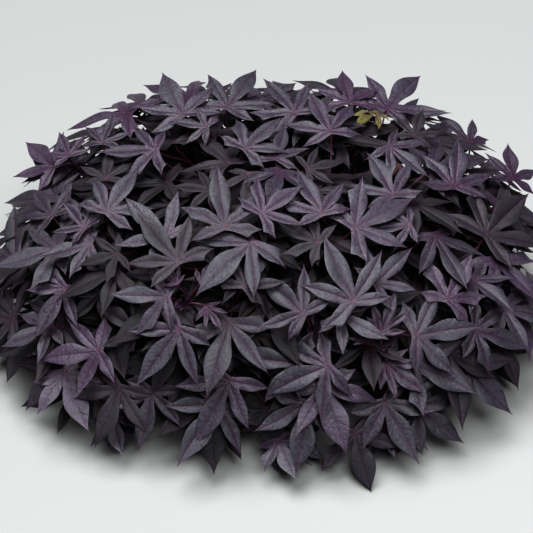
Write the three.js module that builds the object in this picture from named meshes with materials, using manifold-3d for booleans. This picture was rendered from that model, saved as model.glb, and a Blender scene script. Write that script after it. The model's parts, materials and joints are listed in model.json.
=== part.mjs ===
// A sweet potato vine with dark, deeply lobed leaves, cut at soil level and standing on its crown.
// Millimetres, +Z up. The origin is the centre of the crown's flat underside.
// The plant is a low mound, wider than deep: 25 vines leave one woody crown, the lowest trail along
// the ground, and every leaf rides on a petiole that rises from a vine to the mound's surface. Five
// vines end in young shoots, and three old leaves have lost their dark colour.
import * as THREE from 'three';
import Module from 'manifold-3d';
import { mergeVertices } from 'three/addons/utils/BufferGeometryUtils.js';

// ---- Driving dimensions ----------------------------------------------------------------------

// The mound that the leaf junctions lie on: a dome over a rounded rectangle.
const MOUND_HALF_WIDTH = 410;
const MOUND_FRONT = 300;
const MOUND_BACK = 340;
const MOUND_HEIGHT = 325;
const MOUND_SQUARENESS = 2.6;
const MOUND_SHOULDER = 1.15;
const MOUND_FALL = 0.55;
const OUTWARD_SHARE = 0.97;

// The sighting frame that the leaves in front are set out on: an upright-leaning plane through
// SIGHT_CENTRE, seen from an eye point in front of the plant and above it.
const SIGHT_CENTRE = new THREE.Vector3(0, 0, 105);
const SIGHT_ELEVATION = 42;
const SIGHT_DISTANCE = 2220;
const SIGHT_REACH = 480;
const SIGHT_STEP = 2;

// The crown's profile from the middle of its underside to its top, as [radius, height].
const CROWN_PROFILE = [[0, 0], [24, 0], [30, 7], [29, 22], [23, 36], [12, 47], [0, 52]];
const CROWN_SIDES = 10;

// The gap that neighbouring pieces keep.
const SEAT_GAP = 0.35;

const VINE_ROOT_RADIUS = 3.6;
const VINE_TIP_RADIUS = 2.3;
const VINE_SIDES = 5;
const VINE_STEPS = 7;

const PETIOLE_ROOT_RADIUS = 1.9;
const PETIOLE_TIP_RADIUS = 1.25;
const PETIOLE_SIDES = 3;
const PETIOLE_STEPS = 2;
const PETIOLE_LENGTH = 100;
const PETIOLE_SHORTEST = 42;
const PETIOLE_LONGEST = 190;

// How long a petiole keeps the directions of its two ends, as shares of its span, how far from the
// middle of the vine its first ring is, and how far beyond the middle its sunk foot ends.
const PETIOLE_LEAVE = 0.36;
const PETIOLE_ARRIVE = 0.3;
const FOOT_REACH = 4.2;
const FOOT_DEPTH = 1.5;

// A blade is thickest along its ribs and thins to its cut edge.
const RIB_THICKNESS = 1.6;
const MIDDLE_THICKNESS = 1.6;
const BLADE_SHORTEST = 58;
const BLADE_LONGEST = 124;

// How far from the junction the blade is cut in between its lobes and behind, as shares of length.
const WEB_REACH = 0.14;
const BASE_REACH = 0.06;

// Lobes from the right-hand base round to the left: turn from the main lobe in degrees, length as
// a share of the blade, and the outline's points as [share of the lobe, half-width share of blade].
const MAIN_LOBE = { turn: 0, reach: 1, widths: [[0.38, 0.16], [0.7, 0.128]] };
const SIDE_LOBE = { turn: 53, reach: 0.79, widths: [[0.56, 0.1]] };
const BASE_LOBE = { turn: 104, reach: 0.56, widths: [[0.56, 0.115]] };

// How a leaf's age shows: the spread of its lobes, their width, and its droop from least to most.
const GROWN = { spread: 1, width: 1, droop: [0.03, 0.18] };
const YOUNG = { spread: 0.66, width: 0.66, droop: [-0.14, 0.02] };
const FADED = { spread: 0.8, width: 0.95, droop: [0.16, 0.24] };

// The room that is kept between a leaf and the ground, the one by which it is fattened all round
// while its seat is looked for, and the most that a petiole and its blade share at the junction.
const GROUND_GAP = 1.5;
const LEAF_CLEARANCE = 0.45;
const MEETING_SPAN = 7;

// Where petioles root along a vine, as shares of its length, and how many of the nearest vines are
// tried in turn.
const FIRST_ROOT = 0.24;
const LAST_ROOT = 0.985;
const ROOTS_PER_VINE = 17;
const ROOT_CHOICES = 4;
const LENGTH_CARE = 60;
const RISE_CARE = 1.4;
const LEAST_BELOW = 0.35;

// The spiral of leaves that covers the sides, the back and the layer below the set leaves.
const SPIRAL_LEAVES = 94;
const SPIRAL_TURN = 137.508;
const SPIRAL_REACH = 0.985;
const SPIRAL_POWER = 0.34;
const SPIRAL_LOWEST = 34;
const SPIRAL_LENGTHS = [94, 120];
const SPIRAL_SWING = 80;

// How a leaf is moved to find a clear seat: the number of tries, the shift of each one, the most
// that the leaf swings, in degrees, and the most that it shrinks. Its tilt, its swing and its
// shrinking grow with each try by the shares given next.
const SLIDE = { tries: 44, bothSides: true, step: 4, swing: 18, shrink: 0.14 };
const SINK = { tries: 30, bothSides: false, step: 6, swing: 70, shrink: 0.3 };
const TILT_GROWTH = 0.03;
const MOST_TILT = 0.5;
const SWING_GROWTH = 2;
const SHRINK_GROWTH = 0.009;

const SET_SEED = 100000;
const SPIRAL_SEED = 900000;
const YOUNG_SEED = 300000;
const OLD_SEED = 500000;
const SEED_STEP = 1000;

// ---- Numbers and directions ------------------------------------------------------------------

const UP = new THREE.Vector3(0, 0, 1);
const rad = THREE.MathUtils.degToRad;

// A seeded stream of numbers from 0 to 1.
function draws(seed) {
  let state = seed >>> 0;
  return () => {
    state = (state + 0x6d2b79f5) >>> 0;
    let mixed = Math.imul(state ^ (state >>> 15), state | 1);
    mixed ^= mixed + Math.imul(mixed ^ (mixed >>> 7), mixed | 61);
    return ((mixed ^ (mixed >>> 14)) >>> 0) / 4294967296;
  };
}

function mix(...terms) {
  const sum = new THREE.Vector3();
  for (const [share, direction] of terms) sum.addScaledVector(direction, share);
  return sum.normalize();
}

// ---- The mound -------------------------------------------------------------------------------

// 0 on the axis and 1 on the rim, in plan.
function moundShare(x, y) {
  const depth = y < 0 ? MOUND_FRONT : MOUND_BACK;
  return (
    Math.abs(x / MOUND_HALF_WIDTH) ** MOUND_SQUARENESS +
    Math.abs(y / depth) ** MOUND_SQUARENESS
  );
}

function moundTop(x, y) {
  const inside = Math.max(0, 1 - moundShare(x, y) ** MOUND_SHOULDER);
  return MOUND_HEIGHT * inside ** MOUND_FALL;
}

// Distance from the axis to the rim in one direction.
function moundRim(angle) {
  return moundShare(Math.cos(angle), Math.sin(angle)) ** (-1 / MOUND_SQUARENESS);
}

// The dome's outward direction, measured a little inside the rim, where it is never quite level.
function moundOutward(x, y) {
  const share = Math.max(moundShare(x, y), 1e-6);
  const pull = Math.min(1, (OUTWARD_SHARE / share) ** (1 / MOUND_SQUARENESS));
  const step = 1;
  const slopeX = moundTop(x * pull + step, y * pull) - moundTop(x * pull - step, y * pull);
  const slopeY = moundTop(x * pull, y * pull + step) - moundTop(x * pull, y * pull - step);
  return new THREE.Vector3(-slopeX, -slopeY, 2 * step).normalize();
}

// ---- The sighting frame ----------------------------------------------------------------------

const sightTurn = rad(SIGHT_ELEVATION);
const sightBack = new THREE.Vector3(0, -Math.cos(sightTurn), Math.sin(sightTurn));
const sightUp = new THREE.Vector3(0, Math.sin(sightTurn), Math.cos(sightTurn));
const eye = SIGHT_CENTRE.clone().addScaledVector(sightBack, SIGHT_DISTANCE);

// The direction from the eye through a point of the frame, given across and up from its centre.
function sightLine(across, up) {
  const onFrame = SIGHT_CENTRE.clone().addScaledVector(sightUp, up);
  onFrame.x += across;
  return onFrame.sub(eye).normalize();
}

// Where a sight line first meets the mound or, if it passes by, where it comes nearest to it.
function meetMound(line) {
  const first = SIGHT_DISTANCE - SIGHT_REACH;
  let nearest = first;
  let smallest = Infinity;
  for (let reach = first; reach < SIGHT_DISTANCE + SIGHT_REACH; reach += SIGHT_STEP) {
    const point = eye.clone().addScaledVector(line, reach);
    const above = point.z - moundTop(point.x, point.y);
    const outside = Math.max(0, moundShare(point.x, point.y) - 1) * MOUND_HEIGHT;
    if (above + outside < smallest) {
      smallest = above + outside;
      nearest = reach;
    }
    if (smallest <= 0) break;
  }
  return eye.clone().addScaledVector(line, nearest);
}

// ---- Curves ----------------------------------------------------------------------------------

function bezierPoint(curve, t) {
  const rest = 1 - t;
  return new THREE.Vector3()
    .addScaledVector(curve[0], rest * rest * rest)
    .addScaledVector(curve[1], 3 * rest * rest * t)
    .addScaledVector(curve[2], 3 * rest * t * t)
    .addScaledVector(curve[3], t * t * t);
}

function bezierDirection(curve, t) {
  const rest = 1 - t;
  return new THREE.Vector3()
    .addScaledVector(curve[0], -rest * rest)
    .addScaledVector(curve[1], rest * rest - 2 * rest * t)
    .addScaledVector(curve[2], 2 * rest * t - t * t)
    .addScaledVector(curve[3], t * t)
    .normalize();
}

// What is left of a cubic curve after its first share.
function splitCurve(curve, share) {
  const between = (a, b) => a.clone().lerp(b, share);
  const [a, b, c] = [0, 1, 2].map((i) => between(curve[i], curve[i + 1]));
  const [d, e] = [between(a, b), between(b, c)];
  return [between(d, e), e, c, curve[3]];
}

// ---- Solids ----------------------------------------------------------------------------------

const wasm = await Module();
wasm.setup();

function closedGeometry(points, faces) {
  const geometry = new THREE.BufferGeometry();
  const flat = points.flatMap((p) => [p.x, p.y, p.z]);
  geometry.setAttribute('position', new THREE.Float32BufferAttribute(flat, 3));
  geometry.setIndex(faces);
  geometry.computeBoundingBox();
  return geometry;
}

function solidOf(geometry) {
  return new wasm.Manifold(
    new wasm.Mesh({
      numProp: 3,
      vertProperties: new Float32Array(geometry.attributes.position.array),
      triVerts: new Uint32Array(geometry.index.array),
    }),
  );
}

// The corners of a tapering bar along a cubic curve, ring by ring, with the rings turned as little
// as they can be from the one that faces along facing and has its first corner towards towards.
function barRings(curve, rootRadius, tipRadius, sides, steps, towards, facing) {
  const rings = [];
  const bend = new THREE.Quaternion();
  let before = facing;
  let side = towards;
  for (let step = steps; step >= 0; step -= 1) {
    const t = step / steps;
    const centre = bezierPoint(curve, t);
    const direction = bezierDirection(curve, t);
    side = side.clone().applyQuaternion(bend.setFromUnitVectors(before, direction));
    side.addScaledVector(direction, -side.dot(direction)).normalize();
    before = direction;
    const other = new THREE.Vector3().crossVectors(direction, side);
    const radius = rootRadius + (tipRadius - rootRadius) * t;
    const ring = [];
    for (let corner = 0; corner < sides; corner += 1) {
      const turn = (corner / sides) * 2 * Math.PI;
      ring.push(
        centre
          .clone()
          .addScaledVector(side, radius * Math.cos(turn))
          .addScaledVector(other, radius * Math.sin(turn)),
      );
    }
    rings.unshift(ring);
  }
  return rings.flat();
}

// The bar's side faces, where at(step, corner) is a corner's index.
function barFaces(at, sides, steps) {
  const faces = [];
  for (let step = 0; step < steps; step += 1) {
    for (let corner = 0; corner < sides; corner += 1) {
      faces.push(at(step, corner), at(step, corner + 1), at(step + 1, corner + 1));
      faces.push(at(step, corner), at(step + 1, corner + 1), at(step + 1, corner));
    }
  }
  return faces;
}

// A tapering bar closed at both ends.
function barGeometry(curve, rootRadius, tipRadius, sides, steps, towards, facing) {
  const points = barRings(curve, rootRadius, tipRadius, sides, steps, towards, facing);
  const at = (step, corner) => step * sides + (corner % sides);
  const faces = barFaces(at, sides, steps);
  for (let corner = 1; corner < sides - 1; corner += 1) {
    faces.push(at(0, 0), at(0, corner + 1), at(0, corner));
    faces.push(at(steps, 0), at(steps, corner), at(steps, corner + 1));
  }
  return closedGeometry(points, faces);
}

// ---- Leaves ----------------------------------------------------------------------------------

// A leaf's own proportions, drawn once from its seed.
function leafForm(seed, age) {
  const draw = draws(seed);
  const swing = () => draw() - 0.5;
  const lobes = [
    [BASE_LOBE, -1],
    [SIDE_LOBE, -1],
    [MAIN_LOBE, 0],
    [SIDE_LOBE, 1],
    [BASE_LOBE, 1],
  ].map(([kind, side]) => ({
    kind,
    turn: rad(side * age.spread * (kind.turn + 12 * swing())),
    reach: kind.reach * (1 + 0.16 * Math.abs(side) * swing()),
  }));
  const width = age.width * (1 + 0.2 * swing());
  const droop = THREE.MathUtils.lerp(...age.droop, draw());
  return { lobes, width, droop };
}

// The blade's outline and ribs in its own frame: x along the main lobe, y to its left, z up. Each
// lobe droops more and more towards its tip.
function bladePlan(form, length) {
  const place = (turn, forward, across) =>
    new THREE.Vector3(
      forward * Math.cos(turn) - across * Math.sin(turn),
      forward * Math.sin(turn) + across * Math.cos(turn),
      -form.droop * length * (forward / length) ** 2,
    );
  const lobes = form.lobes.map(({ kind, turn, reach }, index) => {
    const lobe = reach * length;
    const half = form.width * length;
    const next = form.lobes[index + 1];
    return {
      right: kind.widths.map(([share, wide]) => place(turn, share * lobe, -wide * half)),
      left: kind.widths.map(([share, wide]) => place(turn, share * lobe, wide * half)),
      ribs: kind.widths.map(([share]) => place(turn, share * lobe, 0)),
      tip: place(turn, lobe, 0),
      web: next ? place((turn + next.turn) / 2, WEB_REACH * length, 0) : null,
    };
  });
  return { base: place(Math.PI, BASE_REACH * length, 0), lobes };
}

// Five spokes run from the middle of the blade to the webs between lobes and to the base. On the
// underside each spoke starts at one of the petiole's three corners: in front, left or right.
const SPOKE_CORNERS = [2, 2, 0, 0, 1, 1];

// A leaf as points and faces. The blade is ridged along its ribs above and plain below, with both
// faces bent at the same stations of each lobe, and they meet in the cut edge. The petiole grows from
// a triangle in the middle of the underside and ends in a point inside its vine. The body that is
// kept clear of others has extra thickness.
function leafGeometry(leaf, { extra = 0, withPetiole = true } = {}) {
  const { form, length, junction, along, normal } = leaf;
  const across = new THREE.Vector3().crossVectors(normal, along);
  const plan = bladePlan(form, length);
  const points = [];
  const faces = [];
  const place = (local, lift) => {
    points.push(
      junction
        .clone()
        .addScaledVector(along, local.x)
        .addScaledVector(across, local.y)
        .addScaledVector(normal, local.z + lift),
    );
    return points.length - 1;
  };
  const edge = (local) => {
    const top = place(local, extra);
    return { top, low: extra > 0 ? place(local, -extra) : top };
  };
  const top = (a, b, c) => faces.push(a, b, c);
  const low = (a, b, c) => faces.push(a, c, b);
  const wall = (a, b) => {
    if (extra > 0) faces.push(a.top, a.low, b.low, a.top, b.low, b.top);
  };
  const middle = new THREE.Vector3();
  const centre = place(middle, MIDDLE_THICKNESS / 2 + extra);
  const corners = [0, 1, 2].map((corner) => {
    const turn = (corner / PETIOLE_SIDES) * 2 * Math.PI;
    const reach = PETIOLE_TIP_RADIUS + extra;
    const local = new THREE.Vector3(reach * Math.cos(turn), reach * Math.sin(turn), 0);
    return place(local, -MIDDLE_THICKNESS / 2 - extra);
  });
  const base = edge(plan.base);
  let before = base;
  plan.lobes.forEach((lobe, index) => {
    const after = lobe.web ? edge(lobe.web) : base;
    const right = [before, ...lobe.right.map(edge)];
    const left = [after, ...lobe.left.map(edge)];
    const ribs = [centre, ...lobe.ribs.map((rib) => place(rib, RIB_THICKNESS + extra))];
    const tip = edge(lobe.tip);
    const outline = [...right, tip, ...left.toReversed()];
    for (let i = 0; i + 1 < outline.length; i += 1) wall(outline[i], outline[i + 1]);
    for (let i = 0; i + 1 < right.length; i += 1) {
      top(right[i].top, right[i + 1].top, ribs[i + 1]);
      top(right[i].top, ribs[i + 1], ribs[i]);
      top(ribs[i], ribs[i + 1], left[i].top);
      top(ribs[i + 1], left[i + 1].top, left[i].top);
    }
    top(ribs.at(-1), right.at(-1).top, tip.top);
    top(ribs.at(-1), tip.top, left.at(-1).top);
    const startCorner = corners[SPOKE_CORNERS[index]];
    const endCorner = corners[SPOKE_CORNERS[index + 1]];
    low(startCorner, before.low, after.low);
    if (startCorner !== endCorner) low(startCorner, after.low, endCorner);
    for (let i = 0; i + 1 < right.length; i += 1) {
      low(right[i].low, right[i + 1].low, left[i + 1].low);
      low(right[i].low, left[i + 1].low, left[i].low);
    }
    low(right.at(-1).low, tip.low, left.at(-1).low);
    before = after;
  });
  low(corners[1], base.low, corners[2]);
  if (withPetiole) {
    const { rings, foot } = petioleForm(leaf);
    const start = points.length;
    points.push(...rings.slice(0, PETIOLE_SIDES * PETIOLE_STEPS), foot);
    const footIndex = points.length - 1;
    const at = (step, corner) =>
      step === PETIOLE_STEPS
        ? corners[corner % PETIOLE_SIDES]
        : start + step * PETIOLE_SIDES + (corner % PETIOLE_SIDES);
    faces.push(...barFaces(at, PETIOLE_SIDES, PETIOLE_STEPS));
    for (let corner = 0; corner < PETIOLE_SIDES; corner += 1) {
      faces.push(footIndex, at(0, corner + 1), at(0, corner));
    }
  } else {
    low(corners[0], corners[1], corners[2]);
  }
  return closedGeometry(points, faces);
}

// The petiole leaves the middle of its vine, rises, and meets the blade from below and behind.
function petioleCurve(leaf) {
  const span = leaf.root.distanceTo(leaf.junction);
  const straight = leaf.junction.clone().sub(leaf.root).normalize();
  const leave = mix([0.55, UP], [0.75, straight]);
  const arrive = mix([0.7, leaf.normal], [0.5, leaf.along]);
  return [
    leaf.root,
    leaf.root.clone().addScaledVector(leave, span * PETIOLE_LEAVE),
    leaf.junction.clone().addScaledVector(arrive, -span * PETIOLE_ARRIVE),
    leaf.junction,
  ];
}

// The petiole's rings from just outside the vine up to the blade, and the point of its sunk foot.
function petioleForm(leaf) {
  const curve = petioleCurve(leaf);
  const first = FOOT_REACH / (3 * PETIOLE_LEAVE * leaf.root.distanceTo(leaf.junction));
  const part = splitCurve(curve, first);
  const foot = leaf.root.clone().addScaledVector(bezierDirection(curve, 0), -FOOT_DEPTH);
  const rings = barRings(
    part,
    PETIOLE_ROOT_RADIUS,
    PETIOLE_TIP_RADIUS,
    PETIOLE_SIDES,
    PETIOLE_STEPS,
    leaf.along,
    leaf.normal,
  );
  return { rings, foot };
}

function petioleGeometry(leaf, extra = 0) {
  return barGeometry(
    petioleCurve(leaf),
    PETIOLE_ROOT_RADIUS + extra,
    PETIOLE_TIP_RADIUS + extra,
    PETIOLE_SIDES,
    PETIOLE_STEPS,
    leaf.along,
    leaf.normal,
  );
}

// ---- Places -----------------------------------------------------------------------------------

function planPoint(turn, share, height) {
  const angle = rad(turn);
  const reach = moundRim(angle) * share;
  return new THREE.Vector3(reach * Math.cos(angle), reach * Math.sin(angle), height);
}

function crownPoint(turn, [radius, height]) {
  const angle = rad(turn);
  return new THREE.Vector3(radius * Math.cos(angle), radius * Math.sin(angle), height);
}

// A place under the mound's surface, either as seen in the sighting frame or in plan.
const inSight = (across, up, deep) => {
  const line = sightLine(across, up);
  return meetMound(line).addScaledVector(line, deep);
};
const inPlan = (x, y, deep) => new THREE.Vector3(x, y, moundTop(x, y) - deep);

// ---- Vines -----------------------------------------------------------------------------------

// Vines leave the crown in three rings: trailing, arching and upright. The root is a radius and a
// height on the crown, and the route's later points are [share of the way to the rim, height].
const VINE_RINGS = [
  { count: 8, firstTurn: 42, root: [22, 12], route: [[0.3, 150], [0.68, 1.7], [0.93, 1.7]] },
  { count: 8, firstTurn: 20, root: [21, 24], route: [[0.16, 190], [0.5, 240], [0.76, 115]] },
  { count: 4, firstTurn: 60, root: [10, 40], route: [[0.09, 130], [0.17, 215], [0.38, 225]] },
];

// Vines that end in young growth near the surface: the turn at which each leaves the crown, where it
// ends, and each young leaf's junction and the tip that it points to.
const SHOOTS = [
  {
    turn: 222,
    tip: inSight(-112, -44, 28),
    leaves: [
      [inSight(-91, -60, 3), inSight(-65, -100, 0)],
      [inSight(-99, -24, 5), inSight(-66, 6, 0)],
      [inSight(-134, -26, 5), inSight(-152, 8, 0)],
    ],
  },
  {
    turn: 313,
    tip: inSight(164, -121, 30),
    leaves: [
      [inSight(173, -99, 3), inSight(197, -34, 0)],
      [inSight(179, -146, 4), inSight(228, -190, 0)],
      [inSight(146, -112, 6), inSight(128, -88, 0)],
    ],
  },
  {
    turn: 357,
    tip: inPlan(325, -72, 75),
    leaves: [
      [inSight(384, -32, 0), inSight(389, -78, 0)],
      [inSight(372, 4, 2), inSight(354, 38, 0)],
    ],
  },
  {
    turn: 132,
    tip: inPlan(-190, 215, 28),
    leaves: [
      [inPlan(-194, 236, 3), inPlan(-200, 276, 0)],
      [inPlan(-214, 210, 4), inPlan(-256, 208, 0)],
      [inPlan(-168, 224, 4), inPlan(-142, 250, 0)],
    ],
  },
  {
    turn: 43,
    tip: inPlan(210, 200, 28),
    leaves: [
      [inPlan(216, 222, 3), inPlan(224, 264, 0)],
      [inPlan(234, 192, 4), inPlan(274, 190, 0)],
      [inPlan(188, 212, 4), inPlan(160, 236, 0)],
    ],
  },
];
const SHOOT_ROOT = [21, 24];
const SHOOT_RISE = 150;

// How much the ring vines differ: their sway in degrees, and their length and height as shares.
const VINE_SWAY = 22;
const VINE_LENGTH_SPREAD = 0.1;
const VINE_HEIGHT_SPREAD = 0.16;
const VINE_SEED = 4000;
const STALK_LENGTH = 17;
const STALK_PLACES = [0.9, 0.6, 0.35];

function ringVines() {
  return VINE_RINGS.flatMap(({ count, firstTurn, root, route }, ring) =>
    Array.from({ length: count }, (_, index) => {
      const draw = draws(VINE_SEED + 100 * ring + index);
      const turn = firstTurn + (360 * index) / count;
      const sway = VINE_SWAY * (draw() - 0.5);
      const points = route.map(([share, height], step) => {
        const longer = 1 + VINE_LENGTH_SPREAD * (draw() - 0.5);
        const onGround = height < VINE_ROOT_RADIUS;
        const higher = onGround ? 1 : 1 + VINE_HEIGHT_SPREAD * (draw() - 0.5);
        return planPoint(turn + (sway * step) / 2, share * longer, height * higher);
      });
      return [crownPoint(turn, root), ...points];
    }),
  );
}

function shootVines() {
  return SHOOTS.map(({ turn, tip }) => {
    const below = new THREE.Vector3(tip.x, tip.y, 0);
    return [
      crownPoint(turn, SHOOT_ROOT),
      below.clone().multiplyScalar(0.22).setZ(SHOOT_RISE),
      below.clone().multiplyScalar(0.72).setZ(tip.z + 10),
      tip,
    ];
  });
}

function vineGeometry(curve, extra = 0) {
  return barGeometry(
    curve,
    VINE_ROOT_RADIUS + extra,
    VINE_TIP_RADIUS + extra,
    VINE_SIDES,
    VINE_STEPS,
    UP,
    bezierDirection(curve, 1),
  );
}

const vines = [...ringVines(), ...shootVines()].map((curve, index) => ({
  name: `vine_${String(index + 1).padStart(2, '0')}`,
  curve,
  solid: solidOf(vineGeometry(curve)),
  places: Array.from({ length: ROOTS_PER_VINE }, (_, step) => {
    const share = THREE.MathUtils.lerp(FIRST_ROOT, LAST_ROOT, step / (ROOTS_PER_VINE - 1));
    return { point: bezierPoint(curve, share), taken: false };
  }),
}));

// The places that a leaf can root at, the best one of each vine first: a petiole of about the usual
// length that rises and meets the blade from below, from a place that bears no other leaf.
function rootChoices(junction, normal) {
  const outward = mix([1, new THREE.Vector3(junction.x, junction.y, 0)]);
  const rise = mix([0.75, UP], [0.35, outward]);
  const choices = vines.map((vine) => {
    let best = null;
    for (const place of vine.places) {
      const reach = junction.clone().sub(place.point);
      const span = reach.length();
      if (place.taken || span < PETIOLE_SHORTEST || span > PETIOLE_LONGEST) continue;
      if (reach.dot(normal) < LEAST_BELOW * span) continue;
      const sideways = 1 - reach.dot(rise) / span;
      const cost = Math.abs(span - PETIOLE_LENGTH) / LENGTH_CARE + RISE_CARE * sideways;
      if (!best || cost < best.cost) best = { cost, vine, place };
    }
    return best;
  });
  return choices.filter(Boolean).sort((a, b) => a.cost - b.cost);
}

// ---- Where the grown leaves are ----------------------------------------------------------------

// Leaves in front and on top: where the junction and the main lobe's tip show in the sighting frame,
// and how far below the mound's surface the junction lies.
const SET_LEAVES = [
  // the far edge, from left to right
  [-319, 150, -364, 190, 0],
  [-296, 167, -310, 199, 6],
  [-246, 186, -233, 227, 0],
  [-241, 132, -235, 180, 12],
  [-167, 175, -256, 180, 0],
  [-125, 229, -157, 297, 0],
  [-90, 210, -145, 222, 10],
  [-58, 240, -15, 302, 0],
  [-32, 178, 24, 229, 4],
  [14, 163, 20, 225, 12],
  [43, 231, -6, 289, 0],
  [95, 203, 60, 272, 0],
  [124, 247, 120, 308, 8],
  [181, 238, 234, 293, 0],
  [185, 180, 249, 137, 0],
  [222, 196, 232, 226, 12],
  [190, 108, 151, 179, 10],
  [305, 187, 256, 237, 0],
  [283, 121, 288, 199, 8],
  [370, 132, 366, 190, 0],
  // the top, from left to right
  [-376, 10, -385, 100, 0],
  [-322, 77, -355, 121, 0],
  [-273, 59, -300, 90, 8],
  [-239, 83, -193, 157, 0],
  [-224, 20, -286, 3, 12],
  [-134, 8, -196, 85, 0],
  [-150, 45, -212, 114, 18],
  [-84, 114, -128, 122, 14],
  [-62, 61, -75, 157, 0],
  [-7, 80, 54, 129, 0],
  [-27, 139, -30, 95, 24],
  [62, 147, 118, 163, 14],
  [83, 81, 45, 158, 0],
  [133, 59, 225, 117, 0],
  [215, 62, 155, 60, 6],
  [330, 48, 398, 113, 0],
  [77, 36, 11, 71, 14],
  [-34, -29, 7, 36, 0],
  [131, -52, 85, 52, -6],
  [165, -25, 220, 30, 12],
  [272, -49, 313, 25, 0],
  [56, -70, -16, -10, 0],
  [-8, -32, -48, -85, 30],
  // the left flank
  [-303, -32, -352, -108, 10],
  [-250, -38, -299, -85, 30],
  [-150, -45, -241, -37, 0],
  [-132, -94, -200, -182, 0],
  [-128, -112, -175, -193, 26],
  [-252, -127, -351, -140, 0],
  [-195, -98, -255, -56, 14],
  [-310, -145, -366, -217, 24],
  [-366, -113, -392, -174, 34],
  [-221, -182, -260, -272, 6],
  [-172, -187, -193, -277, 16],
  // the front and the right flank
  [-57, -172, -108, -269, 0],
  [48, -145, -55, -131, 8],
  [91, -149, -6, -195, 0],
  [59, -206, 43, -316, 0],
  [177, -204, 230, -298, 0],
  [132, -250, 167, -344, 4],
  [-62, -232, -37, -292, 26],
  [0, -215, 15, -282, 34],
  [225, -103, 330, -89, 0],
  [314, -95, 400, -123, 0],
  [220, -146, 317, -192, 4],
  [300, -152, 376, -222, 10],
  [350, -115, 382, -186, 22],
  [225, -212, 301, -265, 10],
  [-20, -97, 40, -142, 26],
];

// Old leaves that have lost their dark colour: each one's junction and tip.
const OLD_LEAVES = [
  { from: inSight(108, -84, 20), to: inSight(124, -116, 12), finish: 'yellow' },
  { from: inSight(164, 232, 16), to: inSight(136, 220, 10), finish: 'olive' },
  { from: inSight(200, 152, 22), to: inSight(172, 136, 16), finish: 'brown' },
];

// The nominal place of a set leaf. It faces partly outwards, partly up and partly to the eye.
function setLeaf([across, up, tipAcross, tipUp, deep], index) {
  const line = sightLine(across, up);
  const surface = meetMound(line);
  const junction = surface.clone().addScaledVector(line, deep);
  const outward = moundOutward(surface.x, surface.y);
  const normal = mix([0.45, outward], [-0.35, line], [0.35, UP]);
  const tipLine = sightLine(tipAcross, tipUp);
  const reach = junction.clone().sub(eye).dot(normal) / tipLine.dot(normal);
  const along = eye.clone().addScaledVector(tipLine, reach).sub(junction);
  const length = THREE.MathUtils.clamp(along.length(), BLADE_SHORTEST, BLADE_LONGEST);
  const seed = SET_SEED + SEED_STEP * index;
  return { seed, junction, along: along.normalize(), normal, length, sink: line };
}

// Leaves on the sides and the back, and in a second layer under the first: the spots of a sunflower
// spiral over the whole mound, closer together towards the rim.
function spiralLeaf(index) {
  const seed = SPIRAL_SEED + SEED_STEP * index;
  const draw = draws(seed + SEED_STEP / 2);
  const angle = rad(SPIRAL_TURN * index);
  const share = SPIRAL_REACH * ((index + 0.5) / SPIRAL_LEAVES) ** SPIRAL_POWER;
  const spot = planPoint(SPIRAL_TURN * index, share, 0);
  const outward = moundOutward(spot.x, spot.y);
  const junction = spot.setZ(Math.max(SPIRAL_LOWEST, moundTop(spot.x, spot.y)));
  const normal = mix([0.6, outward], [0.55, UP]);
  const heading = angle + rad(SPIRAL_SWING * (draw() - 0.5));
  const along = new THREE.Vector3(Math.cos(heading), Math.sin(heading), 0);
  along.addScaledVector(normal, -along.dot(normal)).normalize();
  const length = THREE.MathUtils.lerp(...SPIRAL_LENGTHS, draw());
  const sink = mix([-0.6, outward], [-0.4, UP]);
  return { seed, junction, along, normal, length, sink };
}

// One try at seating a leaf. Each later try shifts it further, tilts it more and makes it smaller:
// a set leaf slides to and fro on its sight line, and a spiral leaf only sinks.
function tryLeaf(nominal, attempt, ways) {
  const draw = draws(nominal.seed + attempt);
  const side = ways.bothSides && attempt % 2 === 0 ? -1 : 1;
  const shift = side * ways.step * (ways.bothSides ? Math.ceil(attempt / 2) : attempt);
  const tilt = Math.min(MOST_TILT, TILT_GROWTH * attempt);
  const junction = nominal.junction.clone().addScaledVector(nominal.sink, shift);
  const normal = mix(
    [1, nominal.normal],
    [tilt * (draw() - 0.5), new THREE.Vector3(1, 0, 0)],
    [tilt * (draw() - 0.5), new THREE.Vector3(0, 1, 0)],
    [tilt * (draw() - 0.3), UP],
  );
  const swing = rad(2 * Math.min(ways.swing, SWING_GROWTH * attempt) * (draw() - 0.5));
  const along = nominal.along.clone().addScaledVector(normal, -nominal.along.dot(normal));
  along.normalize().applyAxisAngle(normal, swing);
  const length = nominal.length * (1 - Math.min(ways.shrink, SHRINK_GROWTH * attempt));
  const choices = rootChoices(junction, normal);
  if (choices.length === 0) return null;
  const { vine, place } = choices[Math.min(choices.length - 1, attempt % ROOT_CHOICES)];
  const form = leafForm(nominal.seed, GROWN);
  return { form, junction, along, normal, length, vine, place, root: place.point };
}

// ---- Growing the plant -------------------------------------------------------------------------

// What is already in place: its box, its solid, the stem or leaf it belongs to and what it is.
const placed = [];

function touches(geometry, matters) {
  const box = geometry.boundingBox;
  const near = placed.filter((other) => matters(other) && box.intersectsBox(other.box));
  const solid = solidOf(geometry);
  return near.some((other) => !solid.intersect(other.solid).isEmpty());
}

function keep(geometry, owner, kind) {
  placed.push({ box: geometry.boundingBox, solid: solidOf(geometry), owner, kind });
}

// Whether a petiole meets its own blade anywhere but at the junction.
function crossesItself(leaf) {
  const blade = solidOf(leafGeometry(leaf, { withPetiole: false }));
  const { min, max } = solidOf(petioleGeometry(leaf)).intersect(blade).boundingBox();
  const span = new THREE.Box3(new THREE.Vector3(...min), new THREE.Vector3(...max));
  return span.getSize(new THREE.Vector3()).length() > MEETING_SPAN;
}

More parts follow.
